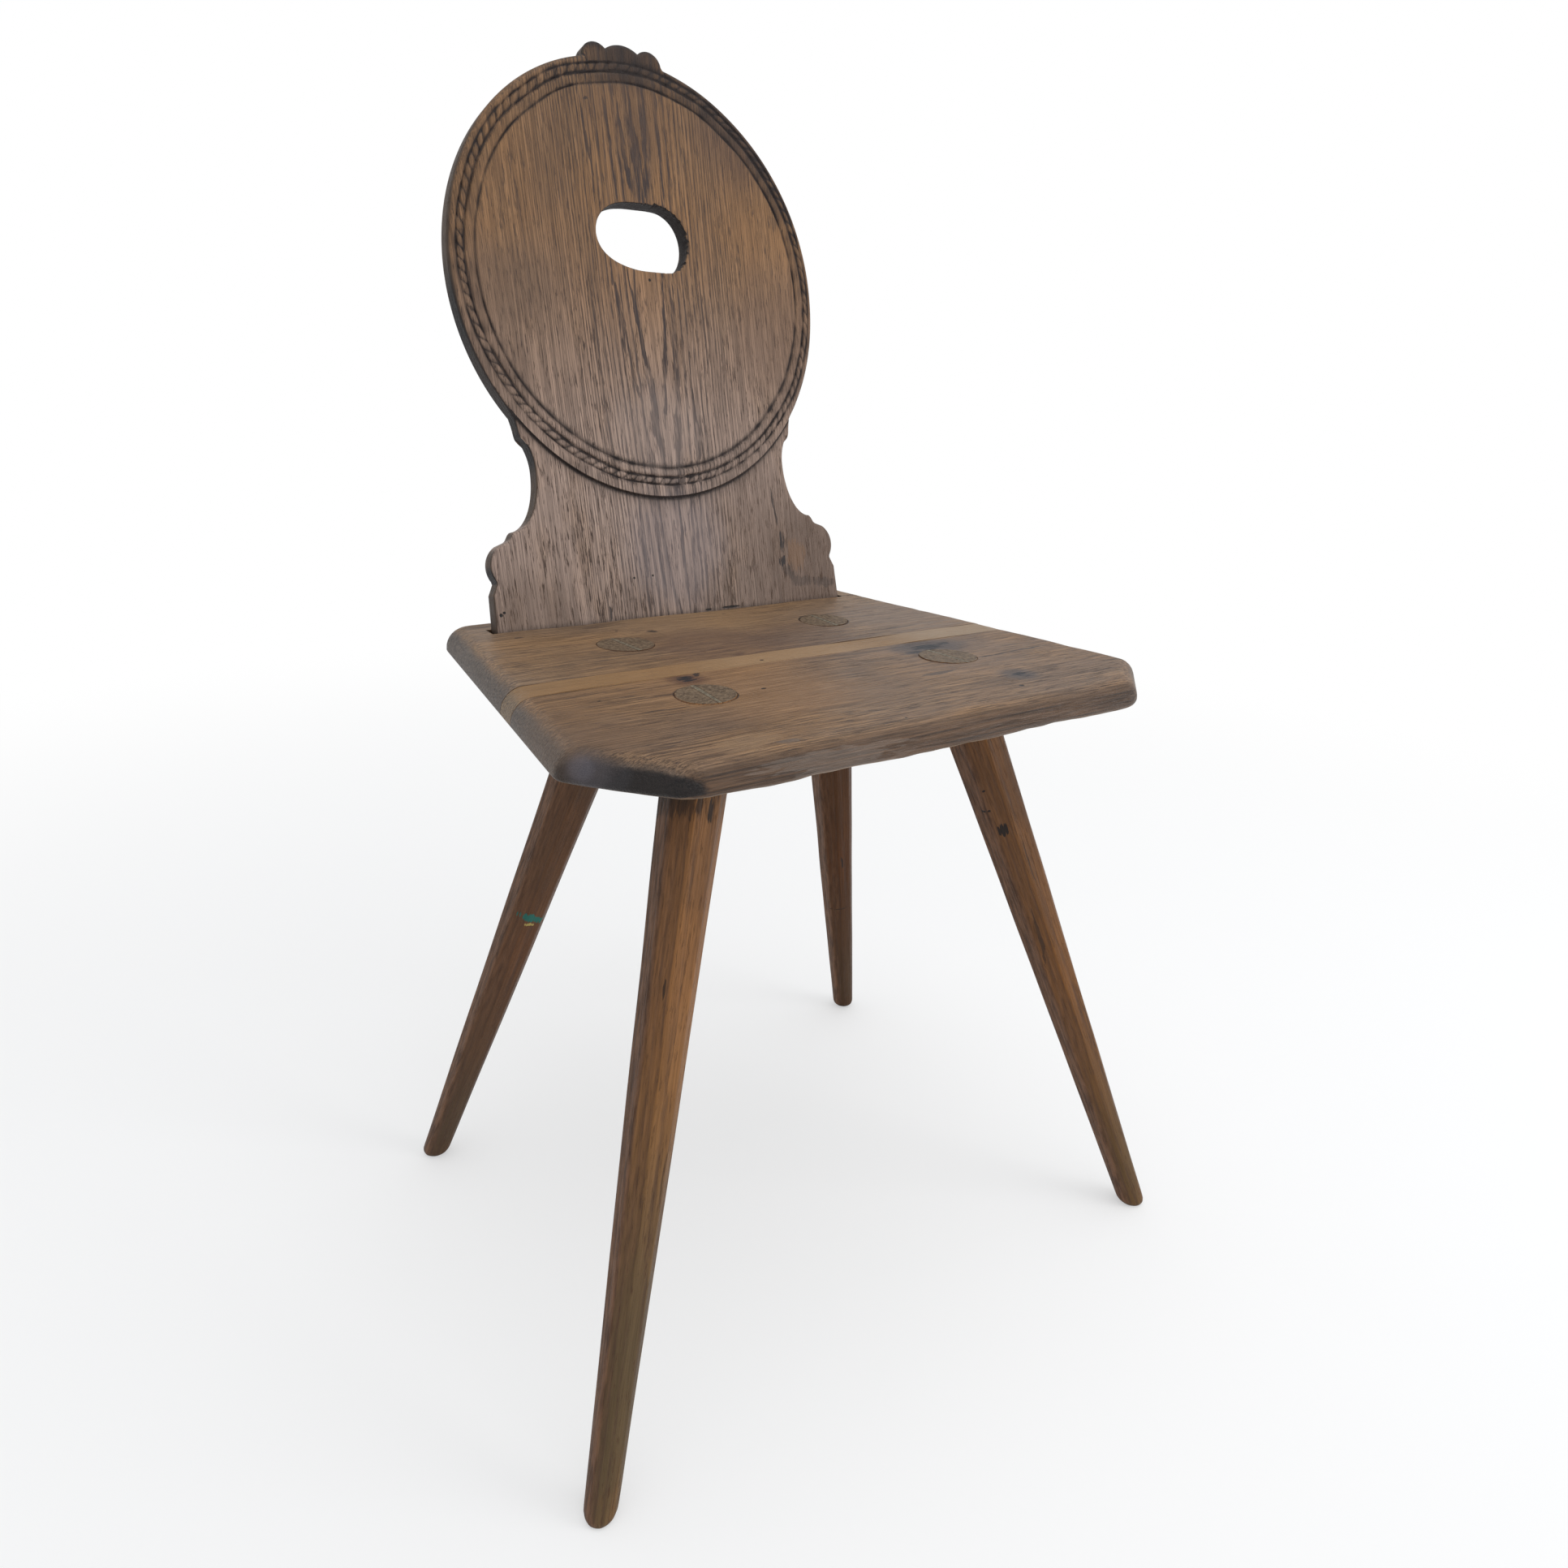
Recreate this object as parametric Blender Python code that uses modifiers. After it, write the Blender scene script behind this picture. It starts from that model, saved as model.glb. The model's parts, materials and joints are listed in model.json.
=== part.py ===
# Carved plank chair: a board back with a carved oval, a seat of three boards and
# four splayed legs whose tenons come up through the seat. Metres, +Z up. The chair
# stands on z = 0 and faces -Y, and x = 0 is its middle.

import math

import bmesh
import bpy
from mathutils import Matrix, Vector

# Clearance between a piece and what holds it, and how far a cutter runs past its work
GAP = 0.0003
OVERRUN = 0.02
# Points closer than this are one, and faces that meet flatter than this are one
WELD = 0.00001
FLAT_ANGLE = math.radians(0.2)

# Seat: height of its top, thickness, and its outline at the widest line
SEAT_TOP = 0.450
SEAT_THICK = 0.030
SEAT_FRONT_Y = -0.1910
SEAT_REAR_Y = 0.1590
SEAT_FRONT_HALF = 0.225
SEAT_REAR_HALF = 0.177
CORNER_CUT_X = 0.0564
CORNER_CUT_Y = 0.0588
REAR_CORNER_RADIUS = 0.020
# Seat edge: rounded down to the widest line, then bevelled back underneath
EDGE_DROP = 0.015
EDGE_FLAT = 0.001
UNDER_BEVEL_WIDTH = 0.036
FRONT_ARRIS = 0.0015
# The light strip between the rear and the front board
STRIP_FRONT_Y = -0.0395
STRIP_WIDTH = 0.0235

# Legs: axis ends at the seat's top and on the floor, size across the flats at the
# floor and at the shoulder, and the round tenon
FRONT_LEG_TOP = (0.0979, -0.0826)
FRONT_LEG_FOOT = (0.2412, -0.2096)
REAR_LEG_TOP = (0.0856, 0.0455)
REAR_LEG_FOOT = (0.2192, 0.1522)
LEG_FOOT_WIDTH = 0.0194
LEG_SHOULDER_WIDTH = 0.0385
LEG_SIDES = 8
TENON_DIAMETER = 0.0375
TENON_SIDES = 24
# Wedge in each leg tenon
WEDGE_THICK = 0.003
WEDGE_TIP = 0.001
WEDGE_DEPTH = 0.022

# Battens under the seat, one for each side's two legs
BATTEN_WIDTH = 0.062
BATTEN_THICK = 0.020
BATTEN_LET_IN = 0.005
BATTEN_CHAMFER = 0.004
BATTEN_FRONT_PAST_LEG = 0.034
BATTEN_REAR_PAST_LEG = 0.032

# Back: leaning board, measured along the board from the seat's top
BACK_Y = 0.1110
BACK_TILT = math.radians(13.45)
BOARD_THICK = 0.0150
BOARD_ARRIS = 0.002
BASE_HALF = 0.152
NECK_HEIGHT = 0.148
NECK_STEP = 0.0016
OVAL_HALF_WIDTH = 0.1493
OVAL_HALF_HEIGHT = 0.1543
OVAL_CENTRE = 0.2425
CREST_HALF = 0.032
HOLE_X = 0.0003
HOLE_CENTRE = 0.2752
HOLE_HALF_WIDTH = 0.0379
HOLE_HALF_HEIGHT = 0.0232
HOLE_TURN = math.radians(-6.0)
# Power of the hole's oval: 2 is an ellipse, and more than that fills its corners
HOLE_POWER = 2.4
# Back joint: housing in the seat, two tenons through it, and a key under each
HOUSING_DEPTH = 0.002
HOUSING_END = 0.0035
BACK_TENON_IN = 0.028
BACK_TENON_WIDTH = 0.042
BACK_TENON_THICK = 0.012
BACK_TENON_BELOW = 0.028
KEY_LENGTH = 0.046
KEY_WIDTH = 0.014
KEY_THICK_END = 0.013
KEY_THIN_END = 0.009

# Outline of the foot and neck: x as a share of BASE_HALF and height as a share of
# NECK_HEIGHT. A round stretch is an ellipse arc: centre, radii, angles, steps.
FOOT_CORNER_SHARES = ((1.0, 0.0), (0.990, 0.180))
LOBE_ARC_SHARES = ((0.870, 0.308), (0.1158, 0.1190), (-36.9, 57.8), 7)
MOULD_SHARES = ((0.879, 0.428),)
HOLLOW_ARC_SHARES = ((0.853, 0.757), (0.149, 0.2865), (270.0, 180.0), 7)
WAIST_ARC_SHARES = ((0.967, 0.757), (0.263, 0.270), (180.0, 149.0), 4)
SHOULDER_SHARES = ((0.761, 0.909), (0.767, 0.959))
# Crest: three lobes, as shares of CREST_HALF above the oval's edge
SIDE_LOBE_SHARES = ((0.647, 0.0), (0.344, 0.344), (3.0, 135.0), 7)
MIDDLE_LOBE_SHARES = ((0.0, -0.325), (0.694, 0.694), (55.0, 90.0), 4)
OVAL_STEPS = 26
HOLE_STEPS = 40
ROUND_STEPS = 5
# Shape of a rounded edge: 0.5 is a true arc
ROUND_PROFILE = 0.5

TIMBER = {
    "back_timber": ((0.27, 0.19, 0.14), 0.48),
    "seat_timber": ((0.25, 0.18, 0.13), 0.45),
    "strip_timber": ((0.42, 0.32, 0.21), 0.50),
    "leg_timber": ((0.26, 0.15, 0.08), 0.50),
    "wedge_timber": ((0.30, 0.22, 0.15), 0.60),
    "under_timber": ((0.33, 0.24, 0.16), 0.70),
}


def clear_scene():
    for obj in list(bpy.data.objects):
        bpy.data.objects.remove(obj, do_unlink=True)


def new_collection(name):
    collection = bpy.data.collections.new(name)
    bpy.context.scene.collection.children.link(collection)
    return collection


def timber(name):
    colour, roughness = TIMBER[name]
    made = bpy.data.materials.get(name) or bpy.data.materials.new(name)
    made.use_nodes = True
    shader = made.node_tree.nodes["Principled BSDF"]
    shader.inputs["Base Color"].default_value = (*colour, 1.0)
    shader.inputs["Roughness"].default_value = roughness
    shader.inputs["Metallic"].default_value = 0.0
    return made


def place(name, mesh, collection, matrix=None, material=None, parent=None):
    """Make an object of a mesh; matrix is its place in the world, or under its parent."""
    obj = bpy.data.objects.new(name, mesh)
    collection.objects.link(obj)
    obj.parent = parent
    obj.matrix_local = matrix or Matrix()
    if material:
        mesh.materials.append(timber(material))
    else:
        obj.hide_render = True
        obj.display_type = "WIRE"
    return obj


def box_mesh(low, high):
    low, high = Vector(low), Vector(high)
    bm = bmesh.new()
    bmesh.ops.create_cube(bm, size=1.0)
    bmesh.ops.scale(bm, vec=high - low, verts=bm.verts)
    bmesh.ops.translate(bm, vec=(low + high) / 2, verts=bm.verts)
    mesh = bpy.data.meshes.new("box")
    bm.to_mesh(mesh)
    bm.free()
    return mesh


def rod_mesh(radius_low, radius_high, low, high, sides, turn=0.0):
    """Straight or tapered rod along Z, from low to high."""
    bm = bmesh.new()
    bmesh.ops.create_cone(bm, cap_ends=True, segments=sides, radius1=radius_low,
                          radius2=radius_high, depth=high - low)
    bmesh.ops.rotate(bm, matrix=Matrix.Rotation(turn, 3, "Z"), verts=bm.verts)
    bmesh.ops.translate(bm, vec=(0, 0, (low + high) / 2), verts=bm.verts)
    mesh = bpy.data.meshes.new("rod")
    bm.to_mesh(mesh)
    bm.free()
    return mesh


def tidy(mesh):
    """Join points that nearly meet, merge faces that are level with each other, face all outwards."""
    bm = bmesh.new()
    bm.from_mesh(mesh)
    bmesh.ops.remove_doubles(bm, verts=bm.verts, dist=WELD)
    bmesh.ops.dissolve_limit(bm, angle_limit=FLAT_ANGLE, verts=bm.verts, edges=bm.edges)
    bmesh.ops.recalc_face_normals(bm, faces=bm.faces)
    bm.to_mesh(mesh)
    bm.free()


def plate_mesh(points, thickness, matrix=None):
    """Flat outline in XY, thickened evenly about z = 0, as a closed mesh."""
    curve = bpy.data.curves.new("outline", "CURVE")
    curve.dimensions = "2D"
    curve.fill_mode = "BOTH"
    curve.extrude = thickness / 2
    spline = curve.splines.new("POLY")
    spline.points.add(len(points) - 1)
    for target, (x, y) in zip(spline.points, points):
        target.co = (x, y, 0.0, 1.0)
    spline.use_cyclic_u = True
    guide = bpy.data.objects.new("outline", curve)
    bpy.context.scene.collection.objects.link(guide)
    graph = bpy.context.evaluated_depsgraph_get()
    mesh = bpy.data.meshes.new_from_object(guide.evaluated_get(graph))
    bpy.data.objects.remove(guide)
    tidy(mesh)
    if matrix:
        mesh.transform(matrix)
    return mesh


def combine(obj, other, operation):
    modifier = obj.modifiers.new(operation.lower(), "BOOLEAN")
    modifier.operation = operation
    modifier.solver = "EXACT"
    modifier.object = other


def join_near_points(obj):
    modifier = obj.modifiers.new("join", "WELD")
    modifier.merge_threshold = WELD


def arc(centre, radii, degrees, steps):
    """Points along an ellipse arc from its first angle to its last."""
    start, end = (math.radians(value) for value in degrees)
    angles = [start + (end - start) * step / steps for step in range(steps + 1)]
    return [(centre[0] + radii[0] * math.cos(a), centre[1] + radii[1] * math.sin(a)) for a in angles]


def full_oval(radii, power, turn, steps):
    """Points round an oval turned about its middle; power sets how full its corners are."""
    points = []
    for step in range(steps):
        angle = 2 * math.pi * step / steps
        wide, high = math.cos(angle) / radii[0], math.sin(angle) / radii[1]
        reach = (abs(wide) ** power + abs(high) ** power) ** (-1 / power)
        points.append((reach * math.cos(angle + turn), reach * math.sin(angle + turn)))
    return points


def scaled(points, width, height, base=0.0):
    return [(x * width, base + y * height) for x, y in points]


def back_matrix():
    """Frame of the leaning back: x across, y through the board, z up along the board."""
    return Matrix.Translation((0, BACK_Y, SEAT_TOP)) @ Matrix.Rotation(-BACK_TILT, 4, "X")


def leg_matrix(top, foot):
    """Frame of a leg: origin on the floor, z along the leg's axis."""
    base = Vector((*foot, 0))
    along = (Vector((*top, SEAT_TOP)) - base).normalized()
    across = (Vector((1, 0, 0)) - along * along.x).normalized()
    sideways = along.cross(across)
    turn = Matrix((across, sideways, along)).transposed().to_4x4()
    return Matrix.Translation(base) @ turn


def leg_length(top, foot):
    return (Vector((*top, SEAT_TOP)) - Vector((*foot, 0))).length


def batten_underside():
    return SEAT_TOP - SEAT_THICK + BATTEN_LET_IN - BATTEN_THICK


def leg_places():
    """Name, side, top and foot of each leg."""
    found = []
    for side, sign in (("left", -1), ("right", 1)):
        found.append((f"front_{side}", side, (sign * FRONT_LEG_TOP[0], FRONT_LEG_TOP[1]),
                      (sign * FRONT_LEG_FOOT[0], FRONT_LEG_FOOT[1])))
        found.append((f"rear_{side}", side, (sign * REAR_LEG_TOP[0], REAR_LEG_TOP[1]),
                      (sign * REAR_LEG_FOOT[0], REAR_LEG_FOOT[1])))
    return found


def seat_side_x(y):
    """Half width of the seat at the widest line."""
    share = (SEAT_REAR_Y - y) / (SEAT_REAR_Y - SEAT_FRONT_Y)
    return SEAT_REAR_HALF + (SEAT_FRONT_HALF - SEAT_REAR_HALF) * share


def seat_outline():
    """Half outline from the front cut round to the rear corner, and its mirror image."""
    cut_rear_y = SEAT_FRONT_Y + CORNER_CUT_Y
    half = [(SEAT_FRONT_HALF - CORNER_CUT_X, SEAT_FRONT_Y), (seat_side_x(cut_rear_y), cut_rear_y)]
    centre = (seat_side_x(SEAT_REAR_Y) - REAR_CORNER_RADIUS, SEAT_REAR_Y - REAR_CORNER_RADIUS)
    side_angle = math.degrees(math.atan2(SEAT_FRONT_HALF - SEAT_REAR_HALF, SEAT_REAR_Y - SEAT_FRONT_Y))
    half += arc(centre, (REAR_CORNER_RADIUS, REAR_CORNER_RADIUS), (side_angle, 90.0), ROUND_STEPS)
    return half + [(-x, y) for x, y in reversed(half)]


def bevel_top(mesh, front):
    """Round the top edge at the sides and rear, or ease it at the front and the cut corners."""
    bm = bmesh.new()
    bm.from_mesh(mesh)
    top = max(vert.co.z for vert in bm.verts)
    cut_rear_y = SEAT_FRONT_Y + CORNER_CUT_Y + GAP
    chosen = []
    for edge in bm.edges:
        on_top = all(abs(vert.co.z - top) < GAP for vert in edge.verts)
        at_front = all(vert.co.y < cut_rear_y for vert in edge.verts)
        on_rim = len({face.normal.z > 0.999 for face in edge.link_faces}) == 2
        if on_top and on_rim and at_front == front:
            chosen.append(edge)
    width = FRONT_ARRIS if front else EDGE_DROP
    steps = 1 if front else ROUND_STEPS
    bmesh.ops.bevel(bm, geom=chosen, offset=width, offset_type="OFFSET", segments=steps,
                    profile=ROUND_PROFILE, affect="EDGES", clamp_overlap=True)
    bm.to_mesh(mesh)
    bm.free()


def outside_box(point, outward):
    """Big box whose one face passes through a point, square to outward, and lies outside it."""
    reach = SEAT_FRONT_HALF + SEAT_REAR_Y - SEAT_FRONT_Y
    turn = Vector(outward).to_track_quat("Z", "Y").to_matrix().to_4x4()
    return box_mesh((-reach, -reach, 0), (reach, reach, reach)), Matrix.Translation(point) @ turn


def underside_cutters(collection):
    """One sloping cutter under each straight edge of the seat."""
    outline = seat_outline()
    widest = SEAT_TOP - EDGE_DROP - EDGE_FLAT
    drop = SEAT_THICK - EDGE_DROP - EDGE_FLAT
    count = len(outline)
    cutters = []
    for index in range(count):
        start, end = Vector(outline[index]), Vector(outline[(index + 1) % count])
        along = end - start
        if along.length < REAR_CORNER_RADIUS:
            continue
        out = Vector((along.y, -along.x)).normalized()
        outward = Vector((out.x * drop, out.y * drop, -UNDER_BEVEL_WIDTH)).normalized()
        mesh, matrix = outside_box((start.x, start.y, widest), outward)
        cutters.append(place(f"underside_cutter_{index}", mesh, collection, matrix))
    return cutters


def seat_slab(collection):
    """The whole seat as one slab, which the three boards are cut from."""
    mesh = plate_mesh(seat_outline(), SEAT_THICK)
    bevel_top(mesh, front=False)
    bevel_top(mesh, front=True)
    tidy(mesh)
    slab = place("seat_slab", mesh, collection, Matrix.Translation((0, 0, SEAT_TOP - SEAT_THICK / 2)))
    # The cuts meet at the outline's corners, so their points are joined after each one
    for cutter in underside_cutters(collection):
        combine(slab, cutter, "DIFFERENCE")
        join_near_points(slab)
    graph = bpy.context.evaluated_depsgraph_get()
    whole = bpy.data.meshes.new_from_object(slab.evaluated_get(graph))
    whole.transform(slab.matrix_world)
    whole.materials.clear()
    tidy(whole)
    return whole


def batten_line(side):
    """Ends of a batten's middle line, on the line through its two legs at mid thickness."""
    height = batten_underside() + BATTEN_THICK / 2
    points = []
    for name, leg_side, top, foot in leg_places():
        if leg_side == side:
            share = height / SEAT_TOP
            points.append(Vector(foot).lerp(Vector(top), share))
    front, rear = sorted(points, key=lambda point: point.y)
    along = (rear - front).normalized()
    return front - along * BATTEN_FRONT_PAST_LEG, rear + along * BATTEN_REAR_PAST_LEG


def batten_matrix(side):
    """Frame of a batten: origin at its front end's underside, y along it."""
    front, rear = batten_line(side)
    turn = math.atan2(front.x - rear.x, rear.y - front.y)
    return Matrix.Translation((*front, batten_underside())) @ Matrix.Rotation(turn, 4, "Z")


def build_battens(parts, cutters, leg_holes):
    """Two battens and the cutters for their housings in the seat."""
    housings = []
    half = BATTEN_WIDTH / 2
    section = [(-half + BATTEN_CHAMFER, 0), (half - BATTEN_CHAMFER, 0), (half, BATTEN_CHAMFER),
               (half, BATTEN_THICK), (-half, BATTEN_THICK), (-half, BATTEN_CHAMFER)]
    for side in ("left", "right"):
        front, rear = batten_line(side)
        length = (rear - front).length
        stand_up = Matrix.Translation((0, length / 2, 0)) @ Matrix.Rotation(math.pi / 2, 4, "X")
        mesh = plate_mesh(section, length, stand_up)
        batten = place(f"batten_{side}", mesh, parts, batten_matrix(side), "under_timber")
        for name, leg_side, hole in leg_holes:
            if leg_side == side:
                combine(batten, hole, "DIFFERENCE")
        low = (-half - GAP, -GAP, BATTEN_THICK - BATTEN_LET_IN - OVERRUN)
        high = (half + GAP, length + GAP, BATTEN_THICK + GAP)
        housings.append(place(f"housing_{side}", box_mesh(low, high), cutters, batten_matrix(side)))
    return housings


def build_leg(name, top, foot, parts, cutters, trims):
    """One leg with its tenon and wedge, and the cutter for its hole."""
    matrix = leg_matrix(top, foot)
    length = leg_length(top, foot)
    flat_to_corner = 1 / math.cos(math.pi / LEG_SIDES)
    shoulder_share = (batten_underside() - GAP) / SEAT_TOP
    per_length = (LEG_SHOULDER_WIDTH - LEG_FOOT_WIDTH) / (shoulder_share * length)
    low_radius = (LEG_FOOT_WIDTH - per_length * OVERRUN) / 2 * flat_to_corner
    high_radius = (LEG_FOOT_WIDTH + per_length * length) / 2 * flat_to_corner
    body = rod_mesh(low_radius, high_radius, -OVERRUN, length, LEG_SIDES, math.pi / LEG_SIDES)
    leg = place(f"leg_{name}", body, parts, matrix, "leg_timber")
    combine(leg, trims["above_shoulder"], "DIFFERENCE")
    radius = TENON_DIAMETER / 2
    tenon_low = (1 - (SEAT_TOP - batten_underside()) / SEAT_TOP) * length - TENON_DIAMETER
    tenon_mesh = rod_mesh(radius, radius, tenon_low, length + TENON_DIAMETER, TENON_SIDES)
    tenon = place(f"tenon_{name}", tenon_mesh, cutters, matrix)
    combine(leg, tenon, "UNION")
    combine(leg, trims["floor_to_top"], "INTERSECT")

    spread = (WEDGE_THICK - WEDGE_TIP) / WEDGE_DEPTH
    rise = TENON_DIAMETER
    edge_on = Matrix.Rotation(math.pi / 2, 4, "X")

    def taper(side_gap):
        high = (WEDGE_THICK + spread * rise) / 2 + side_gap
        low = WEDGE_TIP / 2 + side_gap
        bottom = length - WEDGE_DEPTH - side_gap
        outline = [(-low, bottom), (low, bottom), (high, length + rise), (-high, length + rise)]
        return plate_mesh(outline, TENON_DIAMETER * 2, edge_on)

    kerf = place(f"kerf_{name}", taper(GAP), cutters, matrix)
    combine(leg, kerf, "DIFFERENCE")
    wedge = place(f"wedge_{name}", taper(0.0), parts, matrix, "wedge_timber")
    combine(wedge, tenon, "INTERSECT")
    combine(wedge, trims["floor_to_top"], "INTERSECT")

    hole_mesh = rod_mesh(radius + GAP, radius + GAP, tenon_low, length + TENON_DIAMETER, TENON_SIDES)
    return place(f"hole_{name}", hole_mesh, cutters, matrix)


def board_outline():
    """The back's outline: foot, neck, oval and the three lobes of the crest."""
    foot = list(FOOT_CORNER_SHARES) + arc(*LOBE_ARC_SHARES) + list(MOULD_SHARES)
    foot += arc(*HOLLOW_ARC_SHARES) + arc(*WAIST_ARC_SHARES) + list(SHOULDER_SHARES)
    half = scaled(foot, BASE_HALF, NECK_HEIGHT)
    start = math.degrees(math.asin((NECK_HEIGHT - OVAL_CENTRE) / OVAL_HALF_HEIGHT))
    end = math.degrees(math.acos(CREST_HALF / OVAL_HALF_WIDTH))
    half += arc((0, OVAL_CENTRE), (OVAL_HALF_WIDTH, OVAL_HALF_HEIGHT), (start, end), OVAL_STEPS)
    crest_base = half[-1][1]
    crest = arc(*SIDE_LOBE_SHARES) + arc(*MIDDLE_LOBE_SHARES)[:-1]
    half += scaled(crest, CREST_HALF, CREST_HALF, crest_base)
    peak_share = MIDDLE_LOBE_SHARES[0][1] + MIDDLE_LOBE_SHARES[1][1]
    peak = (0.0, crest_base + peak_share * CREST_HALF)
    below = [(BASE_HALF, -OVERRUN)]
    right = below + half
    return right + [peak] + [(-x, y) for x, y in reversed(right)]


def on_board(depth):
    """Turns a plate's outline up into the back's frame, its middle at a depth in the board."""
    return Matrix.Translation((0, depth, 0)) @ Matrix.Rotation(math.pi / 2, 4, "X")


def build_back(parts, cutters, frame):
    mesh = plate_mesh(board_outline(), BOARD_THICK, on_board(BOARD_THICK / 2))
    board = place("backrest", mesh, parts, None, "back_timber", frame)
    arris = board.modifiers.new("arris", "BEVEL")
    arris.width = BOARD_ARRIS
    arris.segments = 2
    arris.limit_method = "ANGLE"
    arris.angle_limit = math.radians(60)

    oval = arc((0, OVAL_CENTRE), (OVAL_HALF_WIDTH, OVAL_HALF_HEIGHT), (0, 360), OVAL_STEPS * 3)[:-1]
    oval_guide = place("oval_guide", plate_mesh(oval, BOARD_THICK * 2, on_board(0)), cutters, parent=frame)
    relief_low = (-BASE_HALF - OVERRUN, -OVERRUN / 2, -OVERRUN)
    relief_high = (BASE_HALF + OVERRUN, NECK_STEP, OVAL_CENTRE)
    relief = place("neck_relief", box_mesh(relief_low, relief_high), cutters, parent=frame)
    combine(relief, oval_guide, "DIFFERENCE")
    combine(board, relief, "DIFFERENCE")

    oval = full_oval((HOLE_HALF_WIDTH, HOLE_HALF_HEIGHT), HOLE_POWER, HOLE_TURN, HOLE_STEPS)
    turned = [(x + HOLE_X, y + HOLE_CENTRE) for x, y in oval]
    hole_mesh = plate_mesh(turned, BOARD_THICK + OVERRUN, on_board(BOARD_THICK / 2))
    combine(board, place("hand_hole", hole_mesh, cutters, parent=frame), "DIFFERENCE")

    below_low = (-BASE_HALF - OVERRUN, -OVERRUN, -OVERRUN * 2)
    below_high = (BASE_HALF + OVERRUN, BOARD_THICK + OVERRUN, -HOUSING_DEPTH)
    combine(board, place("below_base", box_mesh(below_low, below_high), cutters, parent=frame), "DIFFERENCE")

    middle = (NECK_STEP + BOARD_THICK) / 2
    tenon_bottom = -(SEAT_THICK / math.cos(BACK_TILT) + BACK_TENON_BELOW)
    mortises = []
    for side, sign in (("left", -1), ("right", 1)):
        ends = sorted((sign * BACK_TENON_IN, sign * (BACK_TENON_IN + BACK_TENON_WIDTH)))
        low = (ends[0], middle - BACK_TENON_THICK / 2, tenon_bottom)
        high = (ends[1], middle + BACK_TENON_THICK / 2, OVERRUN)
        tenon = place(f"back_tenon_{side}", box_mesh(low, high), cutters, parent=frame)
        combine(board, tenon, "UNION")
        slot = place(f"key_slot_{side}", key_mesh(GAP), cutters, key_matrix(side))
        combine(board, slot, "DIFFERENCE")
        place(f"back_key_{side}", key_mesh(0.0), parts, key_matrix(side), "under_timber")
        grown_low = [value - GAP for value in low[:2]] + [tenon_bottom]
        grown_high = [value + GAP for value in high[:2]] + [OVERRUN]
        mortise = place(f"mortise_{side}", box_mesh(grown_low, grown_high), cutters, parent=frame)
        mortises.append(mortise)
    low = (-BASE_HALF - HOUSING_END, NECK_STEP - GAP, -HOUSING_DEPTH - GAP)
    high = (BASE_HALF + HOUSING_END, BOARD_THICK + GAP, OVERRUN)
    mortises.append(place("back_housing", box_mesh(low, high), cutters, parent=frame))
    return mortises


def key_mesh(side_gap):
    """Tapered key along Y, its flat upper face at z = 0."""
    half = KEY_LENGTH / 2 + side_gap
    outline = [(-half, side_gap), (-half, -KEY_THIN_END - side_gap),
               (half, -KEY_THICK_END - side_gap), (half, side_gap)]
    turn = Matrix.Rotation(math.pi / 2, 4, "Z") @ Matrix.Rotation(math.pi / 2, 4, "X")
    return plate_mesh(outline, KEY_WIDTH + side_gap * 2, turn)


def key_matrix(side):
    """Place of a key: tight under the seat, through the middle of its tenon."""
    sign = -1 if side == "left" else 1
    upper = SEAT_TOP - SEAT_THICK - GAP * 2
    level = upper - (KEY_THICK_END + KEY_THIN_END) / 4
    middle = (NECK_STEP + BOARD_THICK) / 2
    up_board = (level - SEAT_TOP + middle * math.sin(BACK_TILT)) / math.cos(BACK_TILT)
    y = BACK_Y + up_board * math.sin(BACK_TILT) + middle * math.cos(BACK_TILT)
    x = sign * (BACK_TENON_IN + BACK_TENON_WIDTH / 2)
    return Matrix.Translation((x, y, upper))


def build_seat(parts, cutters, leg_holes, housings, mortises):
    whole = seat_slab(cutters)
    side = SEAT_FRONT_HALF + OVERRUN
    low_z, high_z = SEAT_TOP - SEAT_THICK - OVERRUN, SEAT_TOP + OVERRUN
    strip_rear_y = STRIP_FRONT_Y + STRIP_WIDTH
    boards = (
        ("seat_front_board", SEAT_FRONT_Y - OVERRUN, STRIP_FRONT_Y - GAP / 2, "seat_timber"),
        ("seat_strip", STRIP_FRONT_Y + GAP / 2, strip_rear_y - GAP / 2, "strip_timber"),
        ("seat_rear_board", strip_rear_y + GAP / 2, SEAT_REAR_Y + OVERRUN, "seat_timber"),
    )
    for name, front_y, rear_y, material in boards:
        board = place(name, whole.copy(), parts, None, material)
        span = place(f"{name}_span", box_mesh((-side, front_y, low_z), (side, rear_y, high_z)), cutters)
        combine(board, span, "INTERSECT")
        for housing in housings:
            combine(board, housing, "DIFFERENCE")
        for leg_name, leg_side, hole in leg_holes:
            if name == f"seat_{leg_name.split('_')[0]}_board":
                combine(board, hole, "DIFFERENCE")
        if name == "seat_rear_board":
            for mortise in mortises:
                combine(board, mortise, "DIFFERENCE")


def build_trims(cutters):
    """Big boxes that cut the legs level: above the shoulder, and between floor and seat top."""
    reach = SEAT_FRONT_HALF * 2
    shoulder = batten_underside() - GAP
    above = box_mesh((-reach, -reach, shoulder), (reach, reach, SEAT_TOP + reach))
    between = box_mesh((-reach, -reach, 0), (reach, reach, SEAT_TOP))
    return {"above_shoulder": place("above_shoulder", above, cutters),
            "floor_to_top": place("floor_to_top", between, cutters)}


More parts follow.
